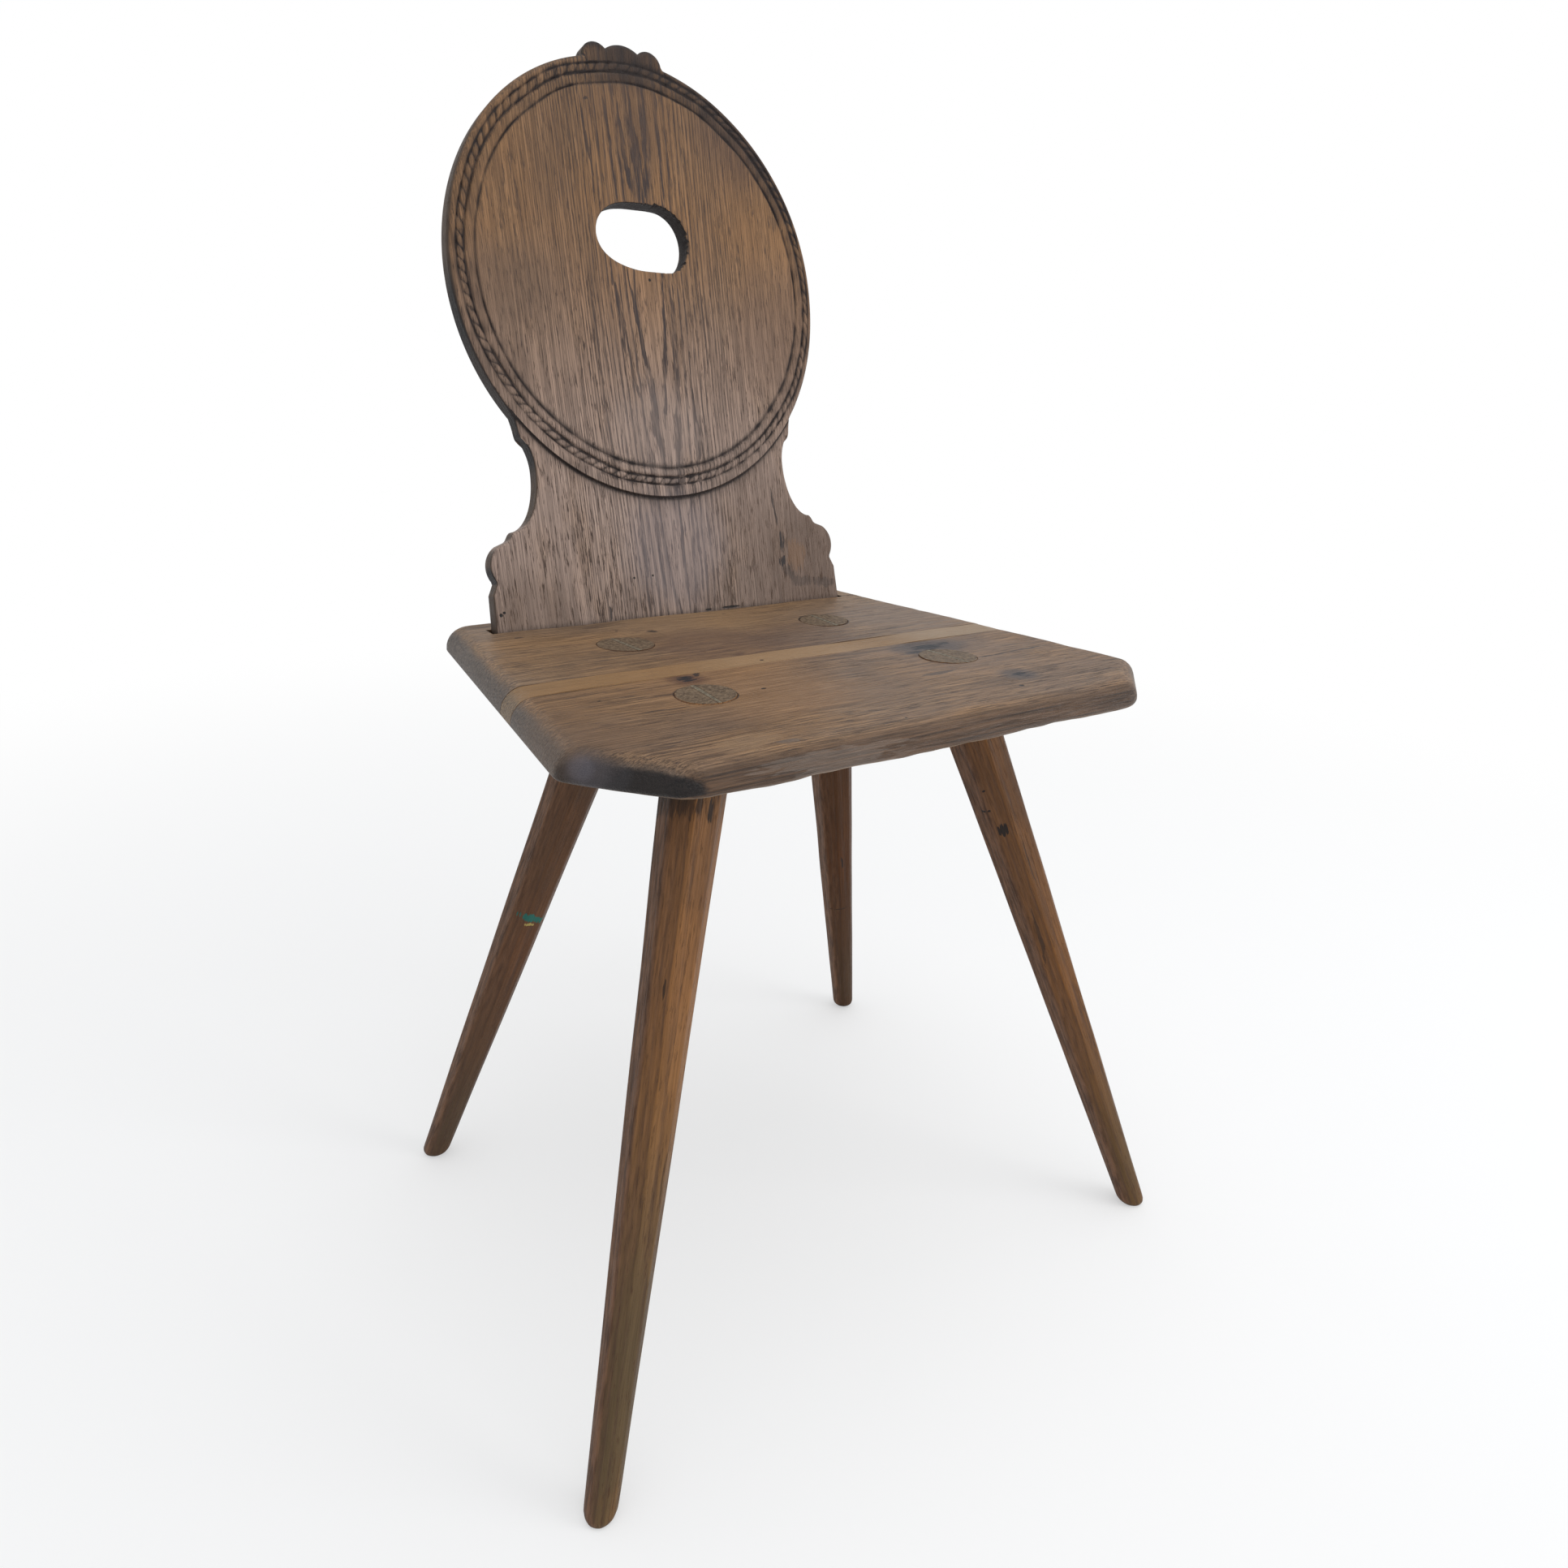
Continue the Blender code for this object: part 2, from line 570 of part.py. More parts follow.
def build_chair():
    clear_scene()
    parts = new_collection("carved_wooden_chair")
    cutters = new_collection("cutters")
    frame = bpy.data.objects.new("back_frame", None)
    parts.objects.link(frame)
    frame.matrix_world = back_matrix()

    trims = build_trims(cutters)
    leg_holes = []
    for name, side, top, foot in leg_places():
        leg_holes.append((name, side, build_leg(name, top, foot, parts, cutters, trims)))
    housings = build_battens(parts, cutters, leg_holes)
    mortises = build_back(parts, cutters, frame)
    build_seat(parts, cutters, leg_holes, housings, mortises)


build_chair()
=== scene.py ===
# Carved plank chair in waxed, worn timber. Metres, +Z up, the chair faces -Y.
import json
import math

import bmesh
import bpy
import numpy as np
from mathutils import Matrix, Vector

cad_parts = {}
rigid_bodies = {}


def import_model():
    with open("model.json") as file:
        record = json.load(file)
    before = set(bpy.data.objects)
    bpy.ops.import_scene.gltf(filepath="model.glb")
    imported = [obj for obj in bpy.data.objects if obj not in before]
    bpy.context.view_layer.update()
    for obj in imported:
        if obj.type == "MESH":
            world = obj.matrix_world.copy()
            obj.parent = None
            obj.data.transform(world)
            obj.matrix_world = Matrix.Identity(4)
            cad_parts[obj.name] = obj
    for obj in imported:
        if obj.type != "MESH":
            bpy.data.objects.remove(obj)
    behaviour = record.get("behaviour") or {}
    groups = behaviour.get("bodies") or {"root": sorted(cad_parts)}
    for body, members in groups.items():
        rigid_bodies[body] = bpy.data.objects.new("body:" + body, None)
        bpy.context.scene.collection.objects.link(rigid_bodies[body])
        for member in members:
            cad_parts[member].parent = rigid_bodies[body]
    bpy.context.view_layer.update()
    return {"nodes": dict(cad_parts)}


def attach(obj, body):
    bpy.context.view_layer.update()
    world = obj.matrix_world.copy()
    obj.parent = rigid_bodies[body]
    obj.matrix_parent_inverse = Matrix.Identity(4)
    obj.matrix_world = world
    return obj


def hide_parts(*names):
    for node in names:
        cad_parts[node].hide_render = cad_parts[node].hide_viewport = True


for leftOver in list(bpy.data.objects):
    bpy.data.objects.remove(leftOver, do_unlink=True)
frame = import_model()
print("frame loaded,", len(frame["nodes"]), "CAD nodes")

# where the chair's parts sit, as in the CAD model
chair = {
    "seatTop": 0.45, "seatThick": 0.03, "battenUnder": 0.405, "gap": 0.0003,
    "backY": 0.111, "backTilt": math.radians(13.45), "boardThick": 0.015,
}
seatTop, gap, tilt = chair["seatTop"], chair["gap"], chair["backTilt"]

# what all the timbers share. A noise has its features per metre across, through and along
# the grain, then its detail and roughness
timber = {
    "sway": ((9, 9, 4), 2, 0.55), "ripple": ((130, 130, 14), 3, 0.6),
    "dash": ((600, 600, 55), 2, 0.6), "broad": ((11, 11, 6), 3, 0.55),
    "patches": ((34, 34, 11), 4, 0.65), "wobble": ((62, 62, 24), 3, 0.6), "wobbleReach": 0.008,
    "holeTone": (0.012, 0.009, 0.008), "seamTone": (0.03, 0.022, 0.018), "seamRadius": 0.019,
    "sheen": 0.28, "bump": {"Strength": 0.55, "Distance": 0.0008},
}


class Signal:
    # one output of a material's node tree; sums written on it become Math nodes
    def __init__(self, finish, socket):
        self.finish = finish
        self.socket = socket

    def maths(self, operation, *others, clamp=False):
        return self.finish.maths(operation, self, *others, clamp=clamp)

    def __add__(self, other):
        return self.maths("ADD", other)

    __radd__ = __add__

    def __sub__(self, other):
        return self.maths("SUBTRACT", other)

    def __rsub__(self, other):
        return self.finish.maths("SUBTRACT", other, self)

    def __mul__(self, other):
        return self.maths("MULTIPLY", other)

    __rmul__ = __mul__

    def largest(self, other):
        return self.maths("MAXIMUM", other)

    def between(self, low, high):
        # 0 below low, 1 above high, eased in between; low may be the larger
        return self.finish.node("ShaderNodeMapRange", {"interpolation_type": "SMOOTHSTEP"},
                                {"Value": self, "From Min": low, "From Max": high})


class Finish:
    # a material, or the world, being put together one node at a time
    def __init__(self, name, owners=bpy.data.materials):
        self.owner = owners.new(name)
        self.owner.use_nodes = True
        self.tree = self.owner.node_tree
        self.surface = self.tree.nodes.get("Principled BSDF")

    def feed(self, socket, value):
        if isinstance(value, Signal):
            self.tree.links.new(value.socket, socket)
        else:
            socket.default_value = value

    def feedSurface(self, values):
        for key, value in values.items():
            self.feed(self.surface.inputs[key], value)

    def node(self, kind, settings=None, inputs=None, output=0):
        made = self.tree.nodes.new(kind)
        for key, value in (settings or {}).items():
            setattr(made, key, value)
        for key, value in (inputs or {}).items():
            self.feed(made.inputs[key], value)
        return Signal(self, made.outputs[output])

    def maths(self, operation, *values, clamp=False):
        settings = {"operation": operation, "use_clamp": clamp}
        return self.node("ShaderNodeMath", settings, dict(enumerate(values)))

    def vector(self, operation, *values, output=0):
        settings = {"operation": operation}
        return self.node("ShaderNodeVectorMath", settings, dict(enumerate(values)), output)

    def mix(self, factor, first, second, blend="MIX"):
        settings = {"data_type": "RGBA", "blend_type": blend}
        first, second = (opaque(value) for value in (first, second))
        return self.node("ShaderNodeMix", settings, {0: factor, 6: first, 7: second}, 2)

    def noise(self, place, scales, detail=3.0, roughness=0.65, output=0):
        stretched = self.vector("MULTIPLY", place, scales)
        inputs = {"Vector": stretched, "Scale": 1.0, "Detail": detail, "Roughness": roughness}
        return self.node("ShaderNodeTexNoise", {"noise_dimensions": "3D"}, inputs, output)


def opaque(colour):
    # a colour of three values with its alpha
    return (*colour, 1.0) if isinstance(colour, tuple) and len(colour) == 3 else colour


def markMask(finish, grain, marks, ragged=0.0):
    # each mark is an ellipse on the face: in millimetres its middle across and along, half
    # width across and half length along, then lean in degrees and strength. The strongest
    # mark wins, and a fine noise makes the edges ragged
    total = None
    for *sizes, lean, strength in marks:
        across, along, halfWidth, halfLength = (size / 1000 for size in sizes)
        cosine, sine = math.cos(math.radians(lean)), math.sin(math.radians(lean))
        wide, long = Vector((cosine, 0, -sine)) / halfWidth, Vector((sine, 0, cosine)) / halfLength
        middle = Vector((across, 0, along))
        first = finish.vector("DOT_PRODUCT", grain, wide, output="Value") - middle.dot(wide)
        second = finish.vector("DOT_PRODUCT", grain, long, output="Value") - middle.dot(long)
        distance = first * first + second * second + ragged
        spot = distance.between(1.05, 0.6) * strength
        total = spot if total is None else total.largest(spot)
    return total


def timberFinish(name, look):
    # wood in a frame of x across, y through and z along the grain: growth rings cut by the
    # board's face, fine lines, pores, broad changes of tone, then bare sides, stains and marks,
    # with painted shade, sheen and highlights among them
    finish = Finish(name)
    place = finish.node("ShaderNodeTexCoord", output="Object")
    grain = finish.node("ShaderNodeMapping", {"vector_type": "TEXTURE"},
                        {"Vector": place, "Location": look["origin"], "Rotation": look["turn"]})
    parts = finish.node("ShaderNodeSeparateXYZ", inputs={0: grain})
    across, through, along = (Signal(finish, socket) for socket in parts.socket.node.outputs)
    sway, ripple, dash, broad, patches = (
        finish.noise(grain, *timber[key]) for key in ("sway", "ripple", "dash", "broad", "patches"))

    # rings round a pith that sways and slopes. They stand wider apart near it, and ringWidth
    # is their spacing 0.1 m from it
    pithX, pithY, slope = look["pith"]
    offset = across - pithX + (sway - 0.5) * look["sway"]
    depth = through + pithY + along * slope + (sway - 0.5) * (look["sway"] * 0.5)
    squared = offset * offset + depth * depth
    ring = squared * (1 / (0.2 * look["ringWidth"])) + (ripple - 0.5) * 0.9
    ring = ring.maths("FRACT")
    dash = dash.between(0.38, 0.6)
    middle, reach, floor = look["figure"]
    central = ((across - middle) * (1.0 / reach)).maths("ABSOLUTE").between(1.0, 0.35)
    rings = ring.between(0.0, 0.1) * ring.between(0.52, 0.2) * (dash * 0.65 + 0.35)
    rings = rings * (central * (1.0 - floor) + floor)
    lines = finish.noise(grain, look["lineScales"]).between(0.33, 0.67)
    pores = (finish.noise(grain, look["poreScales"]) + patches * 0.22).between(0.66, 0.78)
    speckle = finish.noise(grain, look["sideScales"]).between(0.3, 0.7)
    wander = timber["wobbleReach"]
    shift = finish.vector("MULTIPLY_ADD", finish.noise(grain, *timber["wobble"], output=1),
                          (wander, 0, wander), (-wander / 2, 0, -wander / 2))
    shifted = finish.vector("ADD", grain, shift)

    colour = finish.mix(broad.between(0.34, 0.66), look["warm"], look["cool"])
    height = pores * -0.5 - rings * 0.35 + lines * 0.45
    roughness = 0.12 * broad + look["roughness"] - 0.06 * rings + 0.12 * pores

    def lay(mask, tone, dent=0.0, gloss=0.0):
        # a tone over what lies below, with how deep it is sunk and how much it shines
        nonlocal colour, height, roughness
        colour = finish.mix(mask, colour, tone)
        height = height - mask * dent if dent else height
        roughness = roughness - mask * gloss if gloss else roughness

    contrast = 1.0
    if "fade" in look:
        # towards one end the tone changes and the pores stand out more; on the back this is painted
        # sheen as well as weathered wood
        low, high, tone = look["fade"]
        faded = along.between(low, high)
        lay(faded, tone)
        contrast = faded * 0.5 + 1.0
    lay(patches.between(0.45, 0.8) * look["patchShare"], look["pale"])
    colour = finish.mix(1.0, colour, finish.mix(lines, *look["lineTones"]), "MULTIPLY")
    lay(pores * look["poreShare"] * contrast, look["dark"])
    lay(rings * look["ringShare"], look["streak"])
    if "flames" in look:
        flames = markMask(finish, shifted, look["flames"], (dash - 0.5) * -0.9)
        lay(flames * (dash * 0.35 + 0.65), look["streak"], 0.3)
    normal = finish.node("ShaderNodeNewGeometry", output="Normal")
    for way, start, full, tone, gloss in look["faces"]:
        # sides that look another way than the face: end grain, and painted shade on sides turned
        # from the light
        facing = finish.vector("DOT_PRODUCT", normal, way, output="Value")
        cover = (facing + (patches - 0.5) * 0.3).between(start, full)
        side = finish.mix(1.0, tone, finish.mix(speckle, *look["sideTones"]), "MULTIPLY")
        lay(cover, side, speckle * -0.5, gloss)
    for x, y, z, size, tone, strength, gloss in look.get("stainsAndPaintedLight", ()):
        # soft round stains, painted sheen, highlights and shadows, with their middle and size in
        # millimetres
        spot, size = (x / 1000, y / 1000, z / 1000), size / 1000
        away = finish.vector("DISTANCE", place, spot, output="Value")
        away = away + (patches - 0.5) * (size * 0.6)
        cover = away.between(size, size * 0.4) * strength
        lay(cover * (pores * 0.3 + 0.7), tone)
        roughness = roughness - cover * gloss if gloss else roughness
    # knots, cracks and scars; on the front left leg also a painted shadow under the seat
    if look.get("knotsAndShadow"):
        ragged = 0.5 - dash + (patches - 0.5) * 1.8
        lay(markMask(finish, shifted, look["knotsAndShadow"], ragged), look["knotAndShadowTone"], 0.4)
    if "holes" in look:
        lay(markMask(finish, grain, look["holes"]), timber["holeTone"], 3.0)
    for mark, tone in look.get("dabsAndHighlights", ()):
        # dabs, worn fibres and a painted highlight on the one side that faces out
        outer = (through * look["dabSide"]).between(-0.002, 0.002)
        lay(markMask(finish, shifted, [mark], (dash - 0.5) * -0.8) * outer, tone)
    for centre in look.get("seams", ()):
        # dark joint round a tenon's end
        away = finish.vector("DISTANCE", place, centre, output="Value") - timber["seamRadius"]
        away = away.maths("ABSOLUTE").between(0.0014, 0.0004)
        lay(away * (dash * 0.4 + 0.6), timber["seamTone"])
    # the groove attribute darkens the carved lines, the neck under the rim's step and the hand
    # hole: dirt and painted shade
    if "grooveTone" in look:
        groove = finish.node("ShaderNodeAttribute", {"attribute_name": "groove"}, output="Fac")
        grimeAndShade = (groove + (patches - 0.5) * groove * 0.8).maths("MULTIPLY", 1.0, clamp=True)
        lay(grimeAndShade, look["grooveTone"], 0.0, -0.15)
    bump = finish.node("ShaderNodeBump", inputs={**timber["bump"], "Height": height})
    finish.feedSurface({"Base Color": colour, "Roughness": roughness, "Normal": bump,
                        "Specular IOR Level": look.get("sheen", timber["sheen"])})
    return finish.owner


def waves(places, wavelength, seed, count=10):
    # smooth noise about 0: plane waves of like length in seeded directions, averaged
    source = np.random.default_rng(seed)
    ways = source.normal(size=(count, places.shape[-1]))
    ways /= np.linalg.norm(ways, axis=1, keepdims=True)
    lengths = wavelength * source.uniform(0.7, 1.6, count)
    phases = source.uniform(0, 2 * math.pi, count)
    angles = places @ (ways / lengths[:, None]).T * 2 * math.pi + phases
    return np.sin(angles).sum(-1) / math.sqrt(count)


def eased(value, low, high):
    # 0 at low, 1 at high, with a smooth start and end
    share = np.clip((value - low) / (high - low), 0.0, 1.0)
    return share * share * (3 - 2 * share)


def quarterRound(distance, radius):
    # how far a surface has dropped at a distance inside an edge rounded to that radius
    inside = np.clip(radius - distance, 0.0, radius)
    return radius - np.sqrt(np.maximum(radius * radius - inside * inside, 0.0))


def circlePoint(angles):
    # points of a circle of radius 1
    return np.stack([np.cos(angles), np.sin(angles)], -1)


def lifted(flat):
    # flat points with a third coordinate of 0
    return np.concatenate([flat, flat[..., :1] * 0], -1)


def bridge(first, second, shares):
    # rows of points from one line of points to another
    return first + (second - first) * np.reshape(shares, (-1, 1, 1))


def nearest(points, outline):
    # distance from points to a closed outline, and the share along it of the nearest place
    steps = np.roll(outline, -1, axis=0) - outline
    lengths = np.maximum((steps ** 2).sum(-1), 1e-18)
    flat = points.reshape(-1, 2)
    best, where = np.zeros(len(flat)), np.zeros(len(flat))
    for low in range(0, len(flat), 4000):
        block = flat[low:low + 4000]
        offset = block[:, None] - outline
        share = np.clip((offset * steps).sum(-1) / lengths, 0, 1)
        gaps = np.linalg.norm(offset - share[..., None] * steps, axis=-1)
        index = gaps.argmin(1)
        rows = np.arange(len(block))
        best[low:low + 4000] = gaps[rows, index]
        where[low:low + 4000] = index + share[rows, index]
    return best.reshape(points.shape[:-1]), where.reshape(points.shape[:-1])


def sheetFaces(rows, columns, closed):
    # quads between neighbouring rows and columns; closed joins the last column to the first
    reach = columns if closed else columns - 1
    row, column = np.meshgrid(np.arange(rows - 1), np.arange(reach), indexing="ij")
    following = (column + 1) % columns
    corners = [row * columns + column, row * columns + following,
               (row + 1) * columns + following, (row + 1) * columns + column]
    return np.stack(corners, -1).reshape(-1, 4)


def closedMesh(name, sheets, merge=0.00002):
    # one mesh from sheets of (points, closed, groove); shared edges merge, faces turn outwards
    points, faces, grooves, start = [], [], [], 0
    for sheet, closed, groove in sheets:
        rows, columns = sheet.shape[:2]
        points.append(sheet.reshape(-1, 3))
        faces.append(sheetFaces(rows, columns, closed) + start)
        grooves.append(np.zeros(rows * columns) if groove is None else groove.ravel())
        start += rows * columns
    mesh = bpy.data.meshes.new(name)
    mesh.from_pydata(np.concatenate(points).tolist(), [], np.concatenate(faces).tolist())
    layer = mesh.attributes.new("groove", "FLOAT", "POINT")
    layer.data.foreach_set("value", np.concatenate(grooves).astype(np.float32))
    bm = bmesh.new()
    bm.from_mesh(mesh)
    bmesh.ops.remove_doubles(bm, verts=bm.verts, dist=merge)
    bmesh.ops.dissolve_degenerate(bm, edges=bm.edges, dist=merge / 4)
    bmesh.ops.recalc_face_normals(bm, faces=bm.faces)
    if bm.calc_volume(signed=True) < 0:
        bmesh.ops.reverse_faces(bm, faces=bm.faces)
    openEdges = sum(len(edge.link_faces) != 2 for edge in bm.edges)
    bm.to_mesh(mesh)
    bm.free()
    print(name, len(mesh.polygons), "faces,", openEdges, "open edges")
    return mesh


def boxMesh(low, high, matrix=None, change=None):
    # cutter between two corners; change moves its corners before the matrix places it
    corners = np.stack(np.meshgrid(*zip(low, high), indexing="ij"), -1).reshape(-1, 3)
    if change:
        change(corners)
    faces = [(0, 1, 3, 2), (4, 6, 7, 5), (0, 4, 5, 1), (2, 3, 7, 6), (0, 2, 6, 4), (1, 5, 7, 3)]
    mesh = bpy.data.meshes.new("cutter")
    mesh.from_pydata(corners.tolist(), [], faces)
    if matrix:
        mesh.transform(matrix)
    return mesh


def rodMesh(start, end, radius, steps=64):
    # straight round cutter: a circle carried from start to end, with closed ends
    along = end - start
    turn = along.to_track_quat("Z", "Y").to_matrix().to_4x4()
    ring = lifted(circlePoint(np.linspace(0, 2 * math.pi, steps, endpoint=False)) * radius)
    rise = (0, 0, along.length)
    levels = np.stack([ring * 0, ring, ring + rise, ring * 0 + rise])
    mesh = closedMesh("cutter", [(levels, True, None)])
    mesh.transform(Matrix.Translation(start) @ turn)
    return mesh


def placed(name, data):
    # a new object in the scene
    thing = bpy.data.objects.new(name, data)
    bpy.context.scene.collection.objects.link(thing)
    return thing


def cutAway(mesh, cutters):
    # the mesh with each cutter taken out of it
    body = placed("body", mesh)
    helpers = [placed("cutter", cutter) for cutter in cutters]
    for helper in helpers:
        modifier = body.modifiers.new("cut", "BOOLEAN")
        modifier.operation = "DIFFERENCE"
        modifier.solver = "EXACT"
        modifier.object = helper
    graph = bpy.context.evaluated_depsgraph_get()
    result = bpy.data.meshes.new_from_object(body.evaluated_get(graph))
    for thing in [body, *helpers]:
        bpy.data.objects.remove(thing, do_unlink=True)
    return result


def joined(first, second):
    # one mesh holding both
    bm = bmesh.new()
    bm.from_mesh(first)
    bm.from_mesh(second)
    bm.to_mesh(first)
    bm.free()
    return first


def paint(mesh, name, look):
    # the mesh's only material is this timber
    mesh.materials.clear()
    mesh.materials.append(timberFinish(name, look))


def addPiece(name, mesh, look, slot, node, sharpAngle=38.0):
    # a new piece of timber that stands for one CAD node
    paint(mesh, name + "_timber", look)
    mesh.shade_smooth()
    mesh.set_sharp_from_angle(angle=math.radians(sharpAngle))
    piece = placed(name, mesh)
    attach(piece, "root")
    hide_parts(node)
    print("made", name)


backBoard = {
    "baseHalf": 0.152, "neckHeight": 0.148, "neckStep": 0.0016, "footBelow": 0.002,
    # right side from the base up, in shares of baseHalf and neckHeight: points, and arcs of
    # middle, radii, degrees and steps
    "side": ((1, 0), (0.99, 0.18), ((0.87, 0.308), (0.1158, 0.119), (-36.9, 57.8), 24),
             (0.879, 0.428), ((0.853, 0.757), (0.149, 0.2865), (270, 180), 30),
             ((0.967, 0.757), (0.263, 0.27), (180, 149), 14), (0.761, 0.909), (0.767, 0.959)),
    "ovalHalf": (0.1493, 0.1543), "ovalCentre": 0.2425,
    # right half of the crest's three lobes, as arcs in shares of crestHalf
    "crestHalf": 0.032, "crest": (((0.647, 0), (0.344, 0.344), (3, 135), 22),
                                  ((0, -0.325), (0.694, 0.694), (55, 90), 12)),
    "hole": (0.0003, 0.2752), "holeHalf": (0.0379, 0.0232), "holeChip": 0.0008,
    # tables round the back run from the right, turning left, in millimetres. From the hole's
    # middle to its edge:
    "holeReach": (36.9, 36.0, 34.0, 30.6, 26.2, 23.6, 22.8, 23.6, 25.8, 29.6, 33.8, 37.0,
                  38.3, 36.8, 32.6, 28.2, 25.3, 23.8, 23.3, 24.1, 26.9, 32.4, 36.0, 37.0),
    # carved lines, from the oval's edge inwards, and that edge's round; beadDepth is a share
    "firstLine": (4.2, 4.2, 4.6, 4.8, 5.4, 5.2, 5.4, 7.6, 9.3, 9.7, 8.2, 5.4),
    "secondLine": (8.6, 8.9, 9.6, 10.6, 11.1, 10.6, 10.8, 13.6, 15.2, 15.0, 13.6, 10.4),
    "thirdLine": (16.5, 16.2, 17.2, 17.9, 18.5, 18.1, 18.6, 20.6, 22.8, 22.6, 21.4, 18.4),
    "rimRound": (4.2, 4.2, 4.2, 3.4, 4.4, 5.2, 4.6, 1.8, 1.8, 1.8, 1.8, 3.4),
    "beadDepth": (0.7, 0.65, 0.55, 0.55, 0.85, 1.0, 0.95, 0.85, 0.75, 0.8, 0.75, 0.8),
    "beadCount": 107, "lineDepth": 0.0009,
    "neckEdge": 0.0022, "backEdge": 0.0015, "holeEdge": 0.0013,
    # the mesh's rows, from the edge in: shares of the way to a line, or metres past it
    "columns": 880, "edgeRows": (0, 0.012, 0.04, 0.09, 0.17, 0.28, 0.42, 0.58, 0.72),
    "firstRows": (-0.0009, -0.0004, 0, 0.0005), "ropeRows": (0.2, 0.34, 0.5, 0.66, 0.8),
    "secondRows": (-0.0006, 0, 0.0006, 0.0012), "bandRows": (0.28, 0.44, 0.6, 0.74),
    "thirdRows": (-0.0012, -0.0005, 0, 0.0006, 0.0013, 0.0024, 0.004),
    "fieldRows": (0.14, 0.3, 0.48, 0.66, 0.84, 1),
    "holeRows": (0.0026, 0.0016, 0.0009, 0.00045, 0.00015, 0),
    # tenons: from and to across, half their thickness, their middle's depth, length below
    # the seat. Keys: middle across, half width, half length, thick end, thin end
    "tenon": (0.028, 0.07), "tenonHalf": 0.006, "tenonMiddle": 0.0083, "tenonBelow": 0.028,
    "key": (0.049, 0.007, 0.023, 0.013, 0.009),
}


def aroundTable(key, angles):
    # a table of values at even angles from the right, turning left, eased round the turn
    ends = backBoard[key] + backBoard[key][:1]
    places = np.linspace(0, 2 * math.pi, len(ends))
    width = 0.4 * places[1]
    samples = [np.interp(np.mod(angles + shift, 2 * math.pi), places, ends)
               for shift in (-width, 0, width)]
    return (samples[0] + 2 * samples[1] + samples[2]) / 4


def rimLines(angles):
    # how far inside the edge the three carved lines run
    return [aroundTable(key, angles) / 1000 for key in ("firstLine", "secondLine", "thirdLine")]


def arcPoints(centre, radii, degrees, steps):
    # a circle's points between two angles, stretched and moved
    return circlePoint(np.radians(np.linspace(*degrees, steps))) * radii + centre


def footSide():
    # right side of the foot and neck from the base up to the oval: arcs and short straights
    points = [[(1, -backBoard["footBelow"] / backBoard["neckHeight"])]]
    points += [arcPoints(*step) if len(step) == 4 else [step] for step in backBoard["side"]]
    side = np.concatenate(points) * (backBoard["baseHalf"], backBoard["neckHeight"])
    return np.concatenate([side, ovalPoint(np.array([neckAngles()[1]]))])


def neckAngles():
    # where the neck meets the oval, left and right, measured from the right turning left
    drop = backBoard["neckHeight"] - backBoard["ovalCentre"]
    lean = math.asin(drop / backBoard["ovalHalf"][1])
    return math.pi - lean, 2 * math.pi + lean


def ovalPoint(angles, inside=0.0):
    # point of the oval at an angle, moved in along its normal
    half = np.array(backBoard["ovalHalf"])
    circle = circlePoint(angles)
    normal = circle / half / np.linalg.norm(circle / half, axis=-1, keepdims=True)
    return circle * half + (0, backBoard["ovalCentre"]) - normal * np.asarray(inside)[..., None]


def crestLine():
    # the three lobes over the oval, right to left, from the right foot of the crest
    half = backBoard["crestHalf"]
    base = ovalPoint(np.array([math.acos(half / backBoard["ovalHalf"][0])]))[0, 1]
    right = np.concatenate([arcPoints(*arc) for arc in backBoard["crest"]]) * half + (0, base)
    ends = np.array([(half, base)])
    return np.concatenate([ends, right, right[-2::-1] * (-1, 1), ends * (-1, 1)])


def crestHeight(angles):
    # how far the crest stands out of the oval at each angle
    half = backBoard["ovalHalf"]
    across, up = ((crestLine() - (0, backBoard["ovalCentre"])) / half).T
    reach = (np.hypot(across, up) - 1) * half[1]
    heights = np.interp(angles, np.arctan2(up, across), reach, left=0.0, right=0.0)
    return np.maximum(heights - 0.0002, 0.0)


def boardOutline():
    # the whole silhouette, closed, running up the right side
    side = footSide()
    left, right = neckAngles()
    angles = np.linspace(right - 2 * math.pi, left, 560)
    rim = ovalPoint(angles, -crestHeight(angles))
    return np.concatenate([side, rim[1:-1], side[::-1] * (-1, 1)])


def boardPlace(flat, depth):
    # board frame to the chair: x across, depth through the board, height up along it
    y = chair["backY"] + flat[..., 1] * math.sin(tilt) + depth * math.cos(tilt)
    z = seatTop + flat[..., 1] * math.cos(tilt) - depth * math.sin(tilt)
    return np.stack([flat[..., 0], y, z], -1)


